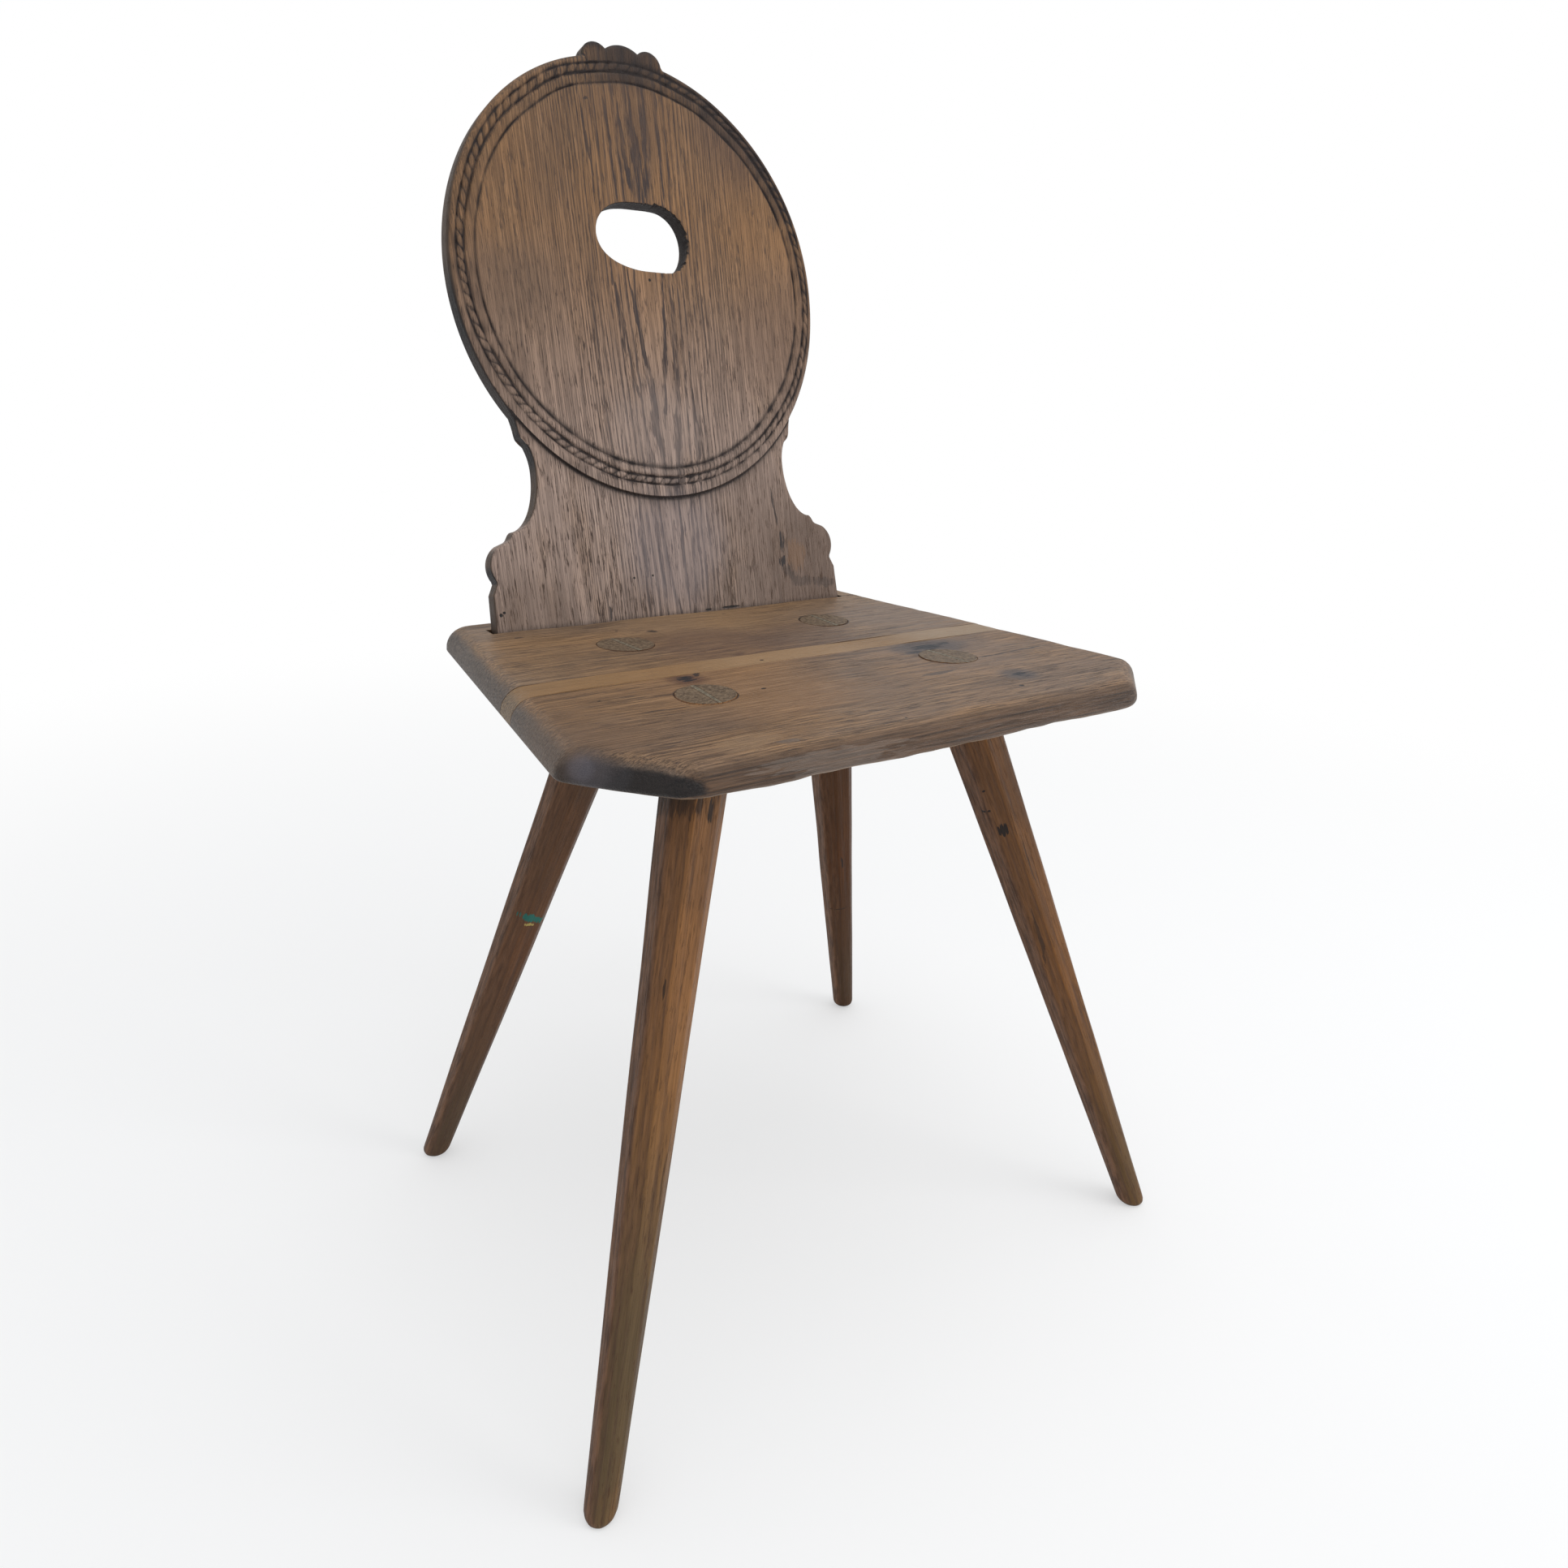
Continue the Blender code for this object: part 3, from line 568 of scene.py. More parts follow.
def rimCarving(inside, angles):
    # depth and darkening, dirt with painted shade, of the carved rim: three cut lines, a rope of
    # slanting beads between the first two, and a rounded band between the last two
    lines = first, second, third = rimLines(angles)
    circle = circlePoint(angles)
    rough = waves(np.concatenate([circle * 0.15, inside[..., None]], -1), 0.012, 3)
    shift = waves(circle * 0.15, 0.05, 4) * 0.0003
    depth, grimeAndShade = np.zeros_like(inside), np.zeros_like(inside)
    widths = 0.00085, 0.001, 0.0009 + 0.0011 * eased(np.sin(angles), 0.1, -0.9)
    for line, width, cut, dark in zip(lines, widths, (1.0, 1.15, 0.9), (0.95, 1.0, 0.9)):
        away = (inside - line - shift) / width
        depth += backBoard["lineDepth"] * cut * np.exp(-away ** 2) * (1 + 0.2 * rough)
        # each cut line darkens: dirt and painted shade in the groove
        grimeAndShade += dark * np.exp(-(away / 0.95) ** 2) * (0.9 + 0.2 * rough)
    across = (inside - (first + second) / 2) / ((second - first) / 2)
    onRope = eased(1.0 - np.abs(across), 0.0, 0.25)
    wander = waves(circle, 0.35, 5) * 0.16
    phase = backBoard["beadCount"] * angles / (2 * math.pi) + wander - 0.3 * across
    crown = np.abs(np.cos(math.pi * phase)) ** 0.7
    strength = aroundTable("beadDepth", angles)
    depth += onRope * strength * (0.001 * (1 - crown) + 0.0002 * across ** 2)
    # the rope darkens between its beads: dirt and painted shade
    grimeAndShade += onRope * strength * (1 - crown) ** 1.6 * 1.05
    onBand = np.clip((inside - second) / (third - second), 0, 1)
    depth += 0.00045 * (1 - np.sin(math.pi * onBand)) * (inside > second) * (inside < third)
    depth += 0.0003 * eased(inside, third, third + 0.002)
    # the rim is browner than the field, darkest where hands hold it at the upper right
    held = eased(np.cos(angles - math.radians(58)), 0.5, 0.95)
    onRim = eased(inside, third + 0.001, third - 0.001)
    grimeAndShade += onRim * (0.15 + 0.45 * held + 0.12 * rough)
    return depth, np.clip(grimeAndShade, 0, 1)


def holeLine(angles, chip=0.0):
    # the hand hole: an oval with full corners, a little askew; chips break its right edge
    circle = circlePoint(angles)
    reach = aroundTable("holeReach", angles) / 1000
    ripple = waves(circle, 0.13, 8, 14)
    reach = reach + chip * np.maximum(ripple, -0.3) * eased(np.cos(angles - 0.3), 0.1, 0.7)
    return circle * reach[..., None] + backBoard["hole"]


def backSheets():
    # the board as grids: front and back of the oval, wall of the hole, front and back of the
    # neck and foot, and the side walls. Columns run round the oval, closer at crest and neck
    left, right = neckAngles()
    even = np.linspace(0, 2 * math.pi, backBoard["columns"], endpoint=False)
    crest = np.radians(np.arange(77.2, 103.0, 0.2))
    close = np.radians([0.04, 0.12, 0.24, 0.4])
    angles = np.concatenate([even, crest, [left, right], left + close, right - close])
    angles = np.unique(np.round(angles, 7))
    angles = angles[np.concatenate([[True], np.diff(angles) > 0.0004])]
    neckStart, neckEnd = (np.abs(angles - end).argmin() for end in (left, right))
    angles[neckStart], angles[neckEnd] = left, right
    onNeck = eased(angles, left - 0.06, left) * eased(angles, right + 0.06, right)
    outline, crestUp = boardOutline(), crestHeight(angles)

    first, second, third = rimLines(angles)
    rows = [(first - 0.0009) * share - crestUp * (1 - share) for share in backBoard["edgeRows"]]
    rows += [first + step for step in backBoard["firstRows"]]
    rows += [first + (second - first) * share for share in backBoard["ropeRows"]]
    rows += [second + step for step in backBoard["secondRows"]]
    rows += [second + (third - second) * share for share in backBoard["bandRows"]]
    rows += [third + step for step in backBoard["thirdRows"]]
    inside = np.stack(rows)
    rim = ovalPoint(np.broadcast_to(angles, inside.shape), inside)

    # columns aim from the rim's middle to the hole's, evenly round both
    circle = circlePoint(angles)
    across, up = (circle * backBoard["holeHalf"]).T
    holeAngles = np.arctan2(up, across) * 0.6 + np.arctan2(circle[:, 1], circle[:, 0]) * 0.4
    plainHole, hole = holeLine(holeAngles), holeLine(holeAngles, backBoard["holeChip"])
    outwards = hole - backBoard["hole"]
    outwards /= np.linalg.norm(outwards, axis=-1, keepdims=True)
    steps = np.array(backBoard["holeRows"])
    field = bridge(rim[-1], hole + outwards * 0.004, backBoard["fieldRows"])
    flat = np.concatenate([rim, field, hole + outwards * steps[:, None, None]])

    inside = np.concatenate([inside, np.full((len(flat) - len(inside), len(angles)), 0.05)])
    depth, grimeAndShade = rimCarving(inside, np.broadcast_to(angles, inside.shape))
    neckRound = backBoard["neckEdge"]
    edge = aroundTable("rimRound", angles) / 1000 * (1 - onNeck) + neckRound * onNeck
    depth += quarterRound(nearest(flat, outline)[0], edge)
    depth += backBoard["neckStep"] * onNeck * eased(inside, 0.0013, 0.0)
    depth[-len(steps):] += quarterRound(steps, backBoard["holeEdge"])[:, None]
    depth += 0.00015 * waves(lifted(flat), 0.05, 11)
    # painted shade along the line where the oval's rim steps out over the neck, and darker over the
    # crest's lobes
    grimeAndShade = np.maximum(grimeAndShade, onNeck * np.exp(-((inside + 0.0002) / 0.0011) ** 2))
    grimeAndShade = np.maximum(grimeAndShade, eased(crestUp, 0.002, 0.007) * eased(-inside, 0.0, 0.007) * 0.92)
    front = boardPlace(flat, depth)

    # back of the oval: flat, with the same columns, then the wall of the hole
    thick, sunk = chair["boardThick"], 0.001
    shares = np.array([0, 0.02, 0.05, 0.1, 0.3, 1.0])[:, None]
    inside = 0.02 * shares - crestUp * (1 - shares)
    rim = ovalPoint(np.broadcast_to(angles, inside.shape), inside)
    flat = np.concatenate([rim, bridge(rim[-1], plainHole, (0.5, 0.97, 1.0))])
    backDepth = thick - quarterRound(nearest(flat, outline)[0], backBoard["backEdge"])
    backDepth[-1] -= sunk
    back = boardPlace(flat, backDepth)
    shares = np.array([0, 0.08, 0.2, 0.35, 0.6, 1.0])[:, None]
    chipped = plainHole + (hole - plainHole) * np.clip(1 - shares / 0.35, 0, 1)[..., None]
    holeWall = boardPlace(chipped, depth[-1] + (thick - sunk - depth[-1]) * shares)
    # painted shade: the hand hole's wall darkens inwards
    holeShade = np.broadcast_to(0.6 + 0.4 * eased(shares, 0, 0.2), holeWall.shape[:2])

    # neck and foot: columns at a share of the side's width, rows that follow the side
    side = footSide()[::-1]
    lengths = np.concatenate([[0], np.cumsum(np.linalg.norm(np.diff(side, axis=0), axis=1))])
    places = np.unique(np.append(np.linspace(0, lengths[-1], 76), lengths[-3]))
    sideX, sideV = (np.interp(places, lengths, values)[:, None] for values in side.T)
    arc = ovalPoint(angles[neckStart:neckEnd + 1])
    columnShare = arc[:, 0] / arc[-1, 0]
    rowShare = (sideV[0] - sideV) / (sideV[0] - sideV[-1])
    flat = np.stack([sideX * columnShare, arc[:, 1] + (sideV[-1] - arc[:, 1]) * rowShare], -1)
    distance, _ = nearest(flat, outline)
    sideGap = sideX * (1 - np.abs(columnShare))
    distance = np.where(flat[..., 1] < neckRound, np.maximum(distance, sideGap), distance)
    neckDepth = backBoard["neckStep"] + quarterRound(distance, neckRound)
    neckDepth += 0.0002 * waves(lifted(flat), 0.06, 12)
    neckDepth[0] = depth[0, neckStart:neckEnd + 1]
    belowRim = arc[:, 1] - flat[..., 1]
    # painted shade on the neck just under the rim's step, and at its foot where it goes into the
    # seat
    neckShade = 0.85 * np.exp(-(belowRim / 0.0016) ** 2) + 0.35 * np.exp(-(belowRim / 0.006) ** 2)
    neckShade = np.maximum(neckShade, 0.5 * eased(flat[..., 1], 0.004, -0.001))
    neckFront = boardPlace(flat, neckDepth)
    neckDepth = thick - quarterRound(distance, backBoard["backEdge"])
    neckDepth[0] = backDepth[0, neckStart:neckEnd + 1]
    neckBack = boardPlace(flat, neckDepth)

    # side walls from the front grids' edges to the back's, round the whole silhouette
    rim = np.concatenate([np.arange(neckEnd, len(angles)), np.arange(neckStart + 1)])
    edges = ((front[0][rim], back[0][rim]), (neckFront[:, 0], neckBack[:, 0]),
             (neckFront[:, -1], neckBack[:, -1]), (neckFront[-1], neckBack[-1]))
    walls = [(bridge(*pair, np.linspace(0, 1, 5)), False, None) for pair in edges]
    return [(front, True, grimeAndShade), (back, True, None), (holeWall, True, holeShade),
            (neckFront, False, neckShade), (neckBack, False, None), *walls]


def tenonSheets():
    # the back's two tenons below the seat, each a box with eased ends
    near, far = backBoard["tenon"]
    bottom = -(chair["seatThick"] / math.cos(tilt) + backBoard["tenonBelow"])
    sheets = []
    for sign in (-1, 1):
        rows = []
        for height, inset in ((-backBoard["footBelow"], 0), (bottom + 0.002, 0), (bottom, 0.0015)):
            xs = np.array([near, far, far, near]) + np.array([1, -1, -1, 1]) * inset
            ds = np.array([-1, -1, 1, 1]) * (backBoard["tenonHalf"] - inset)
            flat = np.stack([sign * xs, np.full(4, height)], -1)
            rows.append(boardPlace(flat, backBoard["tenonMiddle"] + ds))
        ends = [np.tile(rows[index].mean(0), (4, 1)) for index in (0, -1)]
        sheets.append((np.stack([ends[0], *rows, ends[1]]), True, None))
    return sheets


def keySlot(sign):
    # tapered slot for the key under the seat, a clearance wider than the key
    across, halfWidth, halfLength, thickEnd, thinEnd = backBoard["key"]
    middle, upper = backBoard["tenonMiddle"], seatTop - chair["seatThick"] - gap * 2
    level = upper - (thickEnd + thinEnd) / 4 - seatTop
    upBoard = (level + middle * math.sin(tilt)) / math.cos(tilt)
    y = boardPlace(np.array([0.0, upBoard]), middle)[1]

    def taper(corners):
        low = corners[:, 2] < upper - thinEnd / 2
        ends = np.where(corners[low, 1] < y, thinEnd, thickEnd)
        corners[low, 2] = upper - ends - gap

    x, wide, deep = sign * across, halfWidth + gap, halfLength + gap
    return boxMesh((x - wide, y - deep, upper - thickEnd - gap), (x + wide, y + deep, upper + gap),
                   None, taper)


backLook = {
    "origin": (0.0, chair["backY"], seatTop), "turn": (-tilt, 0.0, 0.0),
    "pith": (0.003, 0.0215, -0.05), "sway": 0.012, "ringWidth": 0.0013,
    # fade: paler and greyer towards the seat, painted sheen over weathered wood
    "figure": (-0.004, 0.1, 0.45), "fade": (0.3, 0.08, (0.322, 0.238, 0.196)),
    "lineScales": (820, 820, 13), "lineTones": ((0.62, 0.6, 0.59), (1.24, 1.22, 1.2)),
    "poreScales": (1000, 1000, 75), "sideScales": (420, 420, 50),
    "sideTones": ((0.62, 0.6, 0.6), (1.2, 1.2, 1.2)),
    "warm": (0.236, 0.124, 0.053), "cool": (0.182, 0.102, 0.052), "pale": (0.285, 0.172, 0.092),
    "dark": (0.064, 0.04, 0.03), "streak": (0.04, 0.027, 0.025),
    # grooveTone is the dirt and painted shade in the carved lines, under the rim's step and in the
    # hand hole
    "knotAndShadowTone": (0.03, 0.023, 0.022), "grooveTone": (0.018, 0.012, 0.011),
    "patchShare": 0.35, "ringShare": 0.88, "poreShare": 0.78, "roughness": 0.46, "dabSide": 1,
    "flames": [
        (-37.5, 340, 1, 34, -2.5, 0.85), (-19.5, 340, 1.2, 42, -3.5, 0.9),
        (-8.5, 336, 2.1, 34, -5, 1), (1, 334, 3.6, 37, -2, 1), (9.5, 340, 2.2, 38, 5, 1),
        (21, 338, 1.4, 40, 2, 0.85), (28.5, 335, 0.9, 32, 1, 0.7), (-29, 345, 0.8, 36, -3, 0.7),
        (-10, 196, 1.7, 58, -7, 1), (-27, 215, 1.4, 40, -4, 0.9), (-6.5, 138, 3.6, 24, -6, 0.9),
        (7, 196, 1.7, 58, 6, 1), (10, 128, 3.2, 28, 5, 0.85), (-20.5, 180, 1.1, 70, -7, 0.8),
        (16.5, 180, 1.3, 70, 4, 0.85), (28, 140, 1.2, 30, 0, 0.9), (-29, 45, 1.1, 45, 0, 0.85),
        (-15, 50, 1.3, 50, 0, 0.8), (5, 50, 1.5, 50, 0, 0.85), (19, 50, 1.1, 45, 0, 0.85),
        (-47, 180, 0.8, 60, 0, 0.6), (-95, 270, 0.9, 60, 0, 0.4), (44, 215, 0.8, 45, 0, 0.5),
        (-60, 330, 0.8, 30, 0, 0.4),
    ],
    "stainsAndPaintedLight": [
        (0, 204.5, 842, 36, (0.028, 0.018, 0.016), 0.95, 0),
        (-124, 152, 622, 36, (0.07, 0.044, 0.032), 0.36, 0),
        (124, 160, 652, 74, (0.11, 0.062, 0.04), 0.48, 0),
        # painted sheen: the field's middle is paler and bluer
        (-6, 142, 582, 50, (0.32, 0.25, 0.222), 0.38, 0),
        (-120, 112, 452, 50, (0.1, 0.064, 0.044), 0.55, 0),
        (-40, 112, 452, 40, (0.11, 0.072, 0.052), 0.35, 0),
        (45, 112, 452, 56, (0.1, 0.064, 0.044), 0.55, 0),
        (95, 196, 800, 58, (0.05, 0.031, 0.03), 0.55, 0),
        (-110, 166, 679, 40, (0.085, 0.055, 0.04), 0.5, 0),
        (1, 196, 800, 50, (0.09, 0.052, 0.034), 0.45, 0),
        # painted sheen: the neck's middle is bluish grey
        (0, 122, 500, 60, (0.225, 0.185, 0.19), 0.5, 0.05),
        (140, 116, 475, 90, (0.08, 0.046, 0.029), 0.9, 0),
        (80, 125, 520, 60, (0.15, 0.1, 0.075), 0.6, 0),
    ],
    "faces": [
        ((1, 0, 0), 0.55, 0.85, (0.105, 0.066, 0.042), 0),
        ((-1, 0, 0), 0.55, 0.85, (0.085, 0.055, 0.036), 0),
        # painted shade: walls that face down and to the lower left, under the oval and in the hand
        # hole, are near-black
        ((-0.7, -0.17, -0.69), 0.58, 0.82, (0.015, 0.011, 0.01), 0),
        ((0, -math.sin(tilt), -math.cos(tilt)), 0.5, 0.8,
         (0.024, 0.018, 0.016), 0),
    ],
    "knotsAndShadow": [
        (97.8, 50, 3.6, 8.5, 0, 0.9), (97.5, 35, 4.2, 4.2, 0, 1), (101.5, 25, 4, 8.5, -32, 0.45),
        (116, 16, 12.5, 4.2, 8, 0.4), (137, 14, 11, 4.2, 0, 0.4), (94.5, 74, 1.1, 17, -6, 0.75),
        (118, 296, 4, 6, 0, 0.35), (82, 265, 4, 4, 0, 0.35), (-62.5, 6, 0.9, 6, 0, 0.9),
        (-30, 389, 0.6, 7, -10, 0.95), (-33.7, 363.7, 2.2, 1.2, -30, 0.8),
    ],
    "holes": [
        (1.2, 245.5, 1.1, 1.2, 0, 1), (-40, 30.5, 1, 1, 0, 1), (-24, 31.2, 0.9, 0.9, 0, 1),
        (-147.5, 12.5, 1.4, 1.4, 0, 1), (-145, 14, 1.1, 1.1, 0, 1), (43, 1.5, 9, 0.9, 0, 1),
        (22, 1.2, 3, 0.8, 0, 1),
    ],
    "dabsAndHighlights": [((111, 38, 8.5, 13, 0, 0.5), (0.205, 0.112, 0.058))],
}
backMesh = closedMesh("backrest_piece", backSheets())
tenonMesh = cutAway(closedMesh("back_tenons", tenonSheets()), [keySlot(-1), keySlot(1)])
addPiece("carved_back", joined(backMesh, tenonMesh), backLook, "back_timber", "backrest")


seat = {
    "frontY": -0.191, "rearY": 0.159, "frontHalf": 0.225, "rearHalf": 0.177,
    # how far the front corners are cut off, across and along; the right one is worn away less
    "cut": (0.0564, 0.0588), "rightCut": 0.044, "cutRounds": (0.022, 0.014), "rearRound": 0.02,
    "stripFrontY": -0.0395, "stripWidth": 0.0235, "hewn": 0.0007,
    "sideRound": 0.015, "frontRound": 0.0135, "bevelWidth": 0.036, "bevelDrop": 0.014,
    # the mesh's rows along an edge, in shares of its round
    "edgeRows": (0, 0.02, 0.08, 0.18, 0.31, 0.47, 0.65, 0.83, 1.0, 1.25),
    # half length of the back's trench; half width of the battens' ones, where they run past
    # the legs, and how deep they are let in
    "trenchHalf": 0.1555, "battenHalf": 0.031, "battenPast": (-0.034, 0.032),
    "battenTop": 0.02, "battenMiddle": 0.01,
}


def roundedCorners(corners, radii, steps=14):
    # closed outline whose corners are replaced by arcs tangent to both sides
    points = []
    for index, (here, radius) in enumerate(zip(corners, radii)):
        sides = corners[index - 1] - here, corners[(index + 1) % len(corners)] - here
        back, ahead = (side / np.linalg.norm(side) for side in sides)
        half = math.acos(np.clip(back @ ahead, -1, 1)) / 2
        start, end = (here + way * radius / math.tan(half) for way in (back, ahead))
        middle = (back + ahead) / np.linalg.norm(back + ahead)
        centre = here + middle * radius / math.sin(half)
        chord = start + (end - start) * np.linspace(0, 1, steps)[:, None] - centre
        points.append(centre + chord / np.linalg.norm(chord, axis=1, keepdims=True) * radius)
    return np.concatenate(points)


def seatOutline():
    # a board narrower behind, with both front corners cut off
    front, rear, wide = seat["frontY"], seat["rearY"], seat["frontHalf"]
    cutX, cutY = seat["cut"]

    def half(cut):
        atCut = wide - (wide - seat["rearHalf"]) * cut / (rear - front)
        return np.array([(wide - cutX, front), (atCut, front + cut), (seat["rearHalf"], rear)])

    corners = np.concatenate([half(seat["rightCut"]), half(cutY)[::-1] * (-1, 1)])
    radii = [*seat["cutRounds"], seat["rearRound"]]
    return roundedCorners(corners, radii + radii[::-1])


def boardSheets(frontY, rearY, edgeFront, edgeRear, rowCount, seed):
    # one seat board: a top and an underside on the same plan grid, joined by a wall. Rows run
    # from front to rear and columns across, closer together along the outer edges
    outline = seatOutline()

    def reach(sign, rows):
        # how far the outline lies from the middle on one side
        side = outline[outline[:, 0] * sign > 0]
        side = side[np.argsort(side[:, 1], kind="stable")]
        return np.interp(rows, side[:, 1], np.abs(side[:, 0]))[:, None]

    close = np.array(seat["edgeRows"])
    frontSteps = close * seat["frontRound"] if edgeFront else np.array([0.0])
    rearSteps = close * seat["sideRound"] if edgeRear else np.array([0.0])
    middle = np.linspace(frontY + frontSteps[-1], rearY - rearSteps[-1], rowCount)
    y = np.unique(np.round(np.concatenate([frontY + frontSteps, middle, rearY - rearSteps]), 7))
    edgeSteps = close * seat["sideRound"]
    leftEdge, rightEdge = edgeSteps - reach(-1, y), reach(1, y) - edgeSteps[::-1]
    share = np.linspace(0, 1, 150)[1:-1]
    inner = leftEdge[:, -1:] + (rightEdge[:, :1] - leftEdge[:, -1:]) * share
    x = np.concatenate([leftEdge, inner, rightEdge], axis=1)
    flat = np.stack([x, np.broadcast_to(y[:, None], x.shape)], -1)
    distance, where = nearest(flat, outline)
    # share of the front's rounding: 1 along the straight front and the two cuts, 0 elsewhere
    byFront = (outline[:, 1] < seat["frontY"] + seat["cut"][1] - 0.006).astype(float)
    byFront = np.convolve(np.tile(byFront, 3), np.ones(9) / 9, "same")
    byFront = byFront[len(outline):2 * len(outline)]
    frontShare = np.interp(where, np.arange(len(outline) + 1), np.append(byFront, byFront[0]))
    radius = seat["sideRound"] + (seat["frontRound"] - seat["sideRound"]) * frontShare
    place = lifted(flat)
    wear = 0.00025 * waves(place, 0.09, seed)
    wear += 0.00012 * waves(place * (0.3, 1, 1), 0.014, seed + 1)
    upper = seatTop - 0.0003 - quarterRound(distance, radius) + np.minimum(wear, 0.0003)
    bevel = seat["bevelDrop"] * np.clip(distance / seat["bevelWidth"], 0, 1)
    lower = seatTop - seat["sideRound"] - 0.002 - bevel
    lower += quarterRound(distance, 0.0012 + 0.002 * frontShare)
    hewn = np.clip(waves(place, 0.085, 21) + 0.35 * waves(place, 0.02, 22), -1.4, 1.4)
    lower += seat["hewn"] * hewn * frontShare * eased(distance, 0.03, 0.004)

    sheets = [np.concatenate([flat, height[..., None]], -1) for height in (upper, lower)]
    rims = [np.concatenate([sheet[0], sheet[1:, -1], sheet[-1, -2::-1], sheet[-2:0:-1, 0]])
            for sheet in sheets]
    wall = bridge(*rims, (0, 0.15, 0.35, 0.65, 0.85, 1.0))
    return [(sheets[0], False, None), (sheets[1], False, None), (wall, True, None)]


legs = {
    "frontTop": (0.0979, -0.0826), "frontFoot": (0.2412, -0.2096),
    "rearTop": (0.0856, 0.0455), "rearFoot": (0.2192, 0.1522),
    "footWidth": 0.0194, "shoulderWidth": 0.0385, "tenon": 0.0375,
    "wedge": (0.003, 0.001, 0.022), "softness": 40, "facets": 8, "columns": 96, "rows": 90,
    # worn round below wornBelow; hewn by a share of the width
    "wornBelow": 0.13, "wornShare": 0.85, "hewn": 0.01, "bodyStart": 0.008,
    # the foot's rounded rim: height, how far in, share of the width
    "footRim": ((0, 0, 0), (0, 0, 0.5), (0, 0.0046, 1), (0.0004, 0.0032, 1), (0.0014, 0.0017, 1),
                (0.003, 0.0007, 1), (0.0052, 0.0001, 1)),
}


def legEnds(end, sign):
    # where a leg's axis meets the seat's top and the floor
    (topX, topY), (footX, footY) = legs[end + "Top"], legs[end + "Foot"]
    return Vector((sign * topX, topY, seatTop)), Vector((sign * footX, footY, 0))


def legAxes(end, sign):
    # across, sideways and along the leg, at right angles
    top, foot = legEnds(end, sign)
    along = (top - foot).normalized()
    across = (Vector((1, 0, 0)) - along * along.x).normalized()
    return across, along.cross(across), along


def legHole(end, sign):
    # the tenon's hole, a clearance wider than it
    top, along = legEnds(end, sign)[0], legAxes(end, sign)[2]
    return rodMesh(top - along * 0.07, top + along * 0.05, legs["tenon"] / 2 + gap)


def battenHousing(sign):
    # the shallow trench for a batten, along the line between its two legs
    height, middles = chair["battenUnder"] + seat["battenMiddle"], []
    for end in ("front", "rear"):
        top, foot = legEnds(end, sign)
        middles.append(foot.lerp(top, height / seatTop))
    along = (middles[1] - middles[0]).normalized()
    front, rear = (middle + along * past for middle, past in zip(middles, seat["battenPast"]))
    wide = seat["battenHalf"] + gap
    turn = Matrix.Rotation(math.atan2(front.x - rear.x, rear.y - front.y), 4, "Z")
    place = Matrix.Translation((front.x, front.y, chair["battenUnder"])) @ turn
    far = (wide, (rear - front).length + gap, seat["battenTop"] + gap)
    return boxMesh((-wide, -gap, -0.005), far, place)


def backHousing():
    # trench and two mortises for the back's foot
    turn = Matrix.Rotation(-tilt, 4, "X")
    place = Matrix.Translation((0, chair["backY"], seatTop)) @ turn
    half, middle = backBoard["tenonHalf"], backBoard["tenonMiddle"]
    long, below = seat["trenchHalf"], backBoard["footBelow"]
    cutters = [boxMesh((-long, backBoard["neckStep"] - gap, -below - gap),
                       (long, chair["boardThick"] + gap, 0.02), place)]
    for sign in (-1, 1):
        near, far = sorted(sign * end for end in backBoard["tenon"])
        cutters.append(boxMesh((near - gap, middle - half - gap, -0.06),
                               (far + gap, middle + half + gap, 0.02), place))
    return cutters


def tenonTops(end):
    # middles of a pair of leg tenons on the seat's top
    return [tuple(legEnds(end, sign)[0]) for sign in (-1, 1)]


seatLook = {
    # grain runs across the seat: marks are measured (rearwards, rightwards)
    "origin": (0.0, 0.0, 0.0), "turn": (math.radians(90), 0.0, math.radians(90)),
    "pith": (0.055, -0.48, 0.02), "sway": 0.014, "ringWidth": 0.003, "figure": (0.0, 0.5, 0.9),
    "lineScales": (1000, 1000, 22), "lineTones": ((0.5, 0.48, 0.47), (1.4, 1.38, 1.34)),
    "poreScales": (1100, 1100, 60), "sideScales": (760, 760, 15),
    "sideTones": ((0.42, 0.4, 0.4), (1.6, 1.56, 1.5)),
    "warm": (0.24, 0.137, 0.066), "cool": (0.178, 0.114, 0.074), "pale": (0.29, 0.188, 0.108),
    "dark": (0.05, 0.032, 0.027), "streak": (0.062, 0.041, 0.034),
    "knotAndShadowTone": (0.014, 0.013, 0.017),
    "patchShare": 0.4, "ringShare": 0.38, "poreShare": 0.85, "roughness": 0.4, "dabSide": 1,
    "faces": [
        ((0, -1, 0), 0.3, 0.85, (0.076, 0.042, 0.023), 0.06),
        ((-1, 0, 0), 0.35, 0.75, (0.106, 0.083, 0.068), 0),
        ((1, 0, 0), 0.35, 0.75, (0.15, 0.116, 0.09), 0),
        ((0, 0, -1), 0.6, 0.9, (0.2, 0.14, 0.09), -0.15),
    ],
}
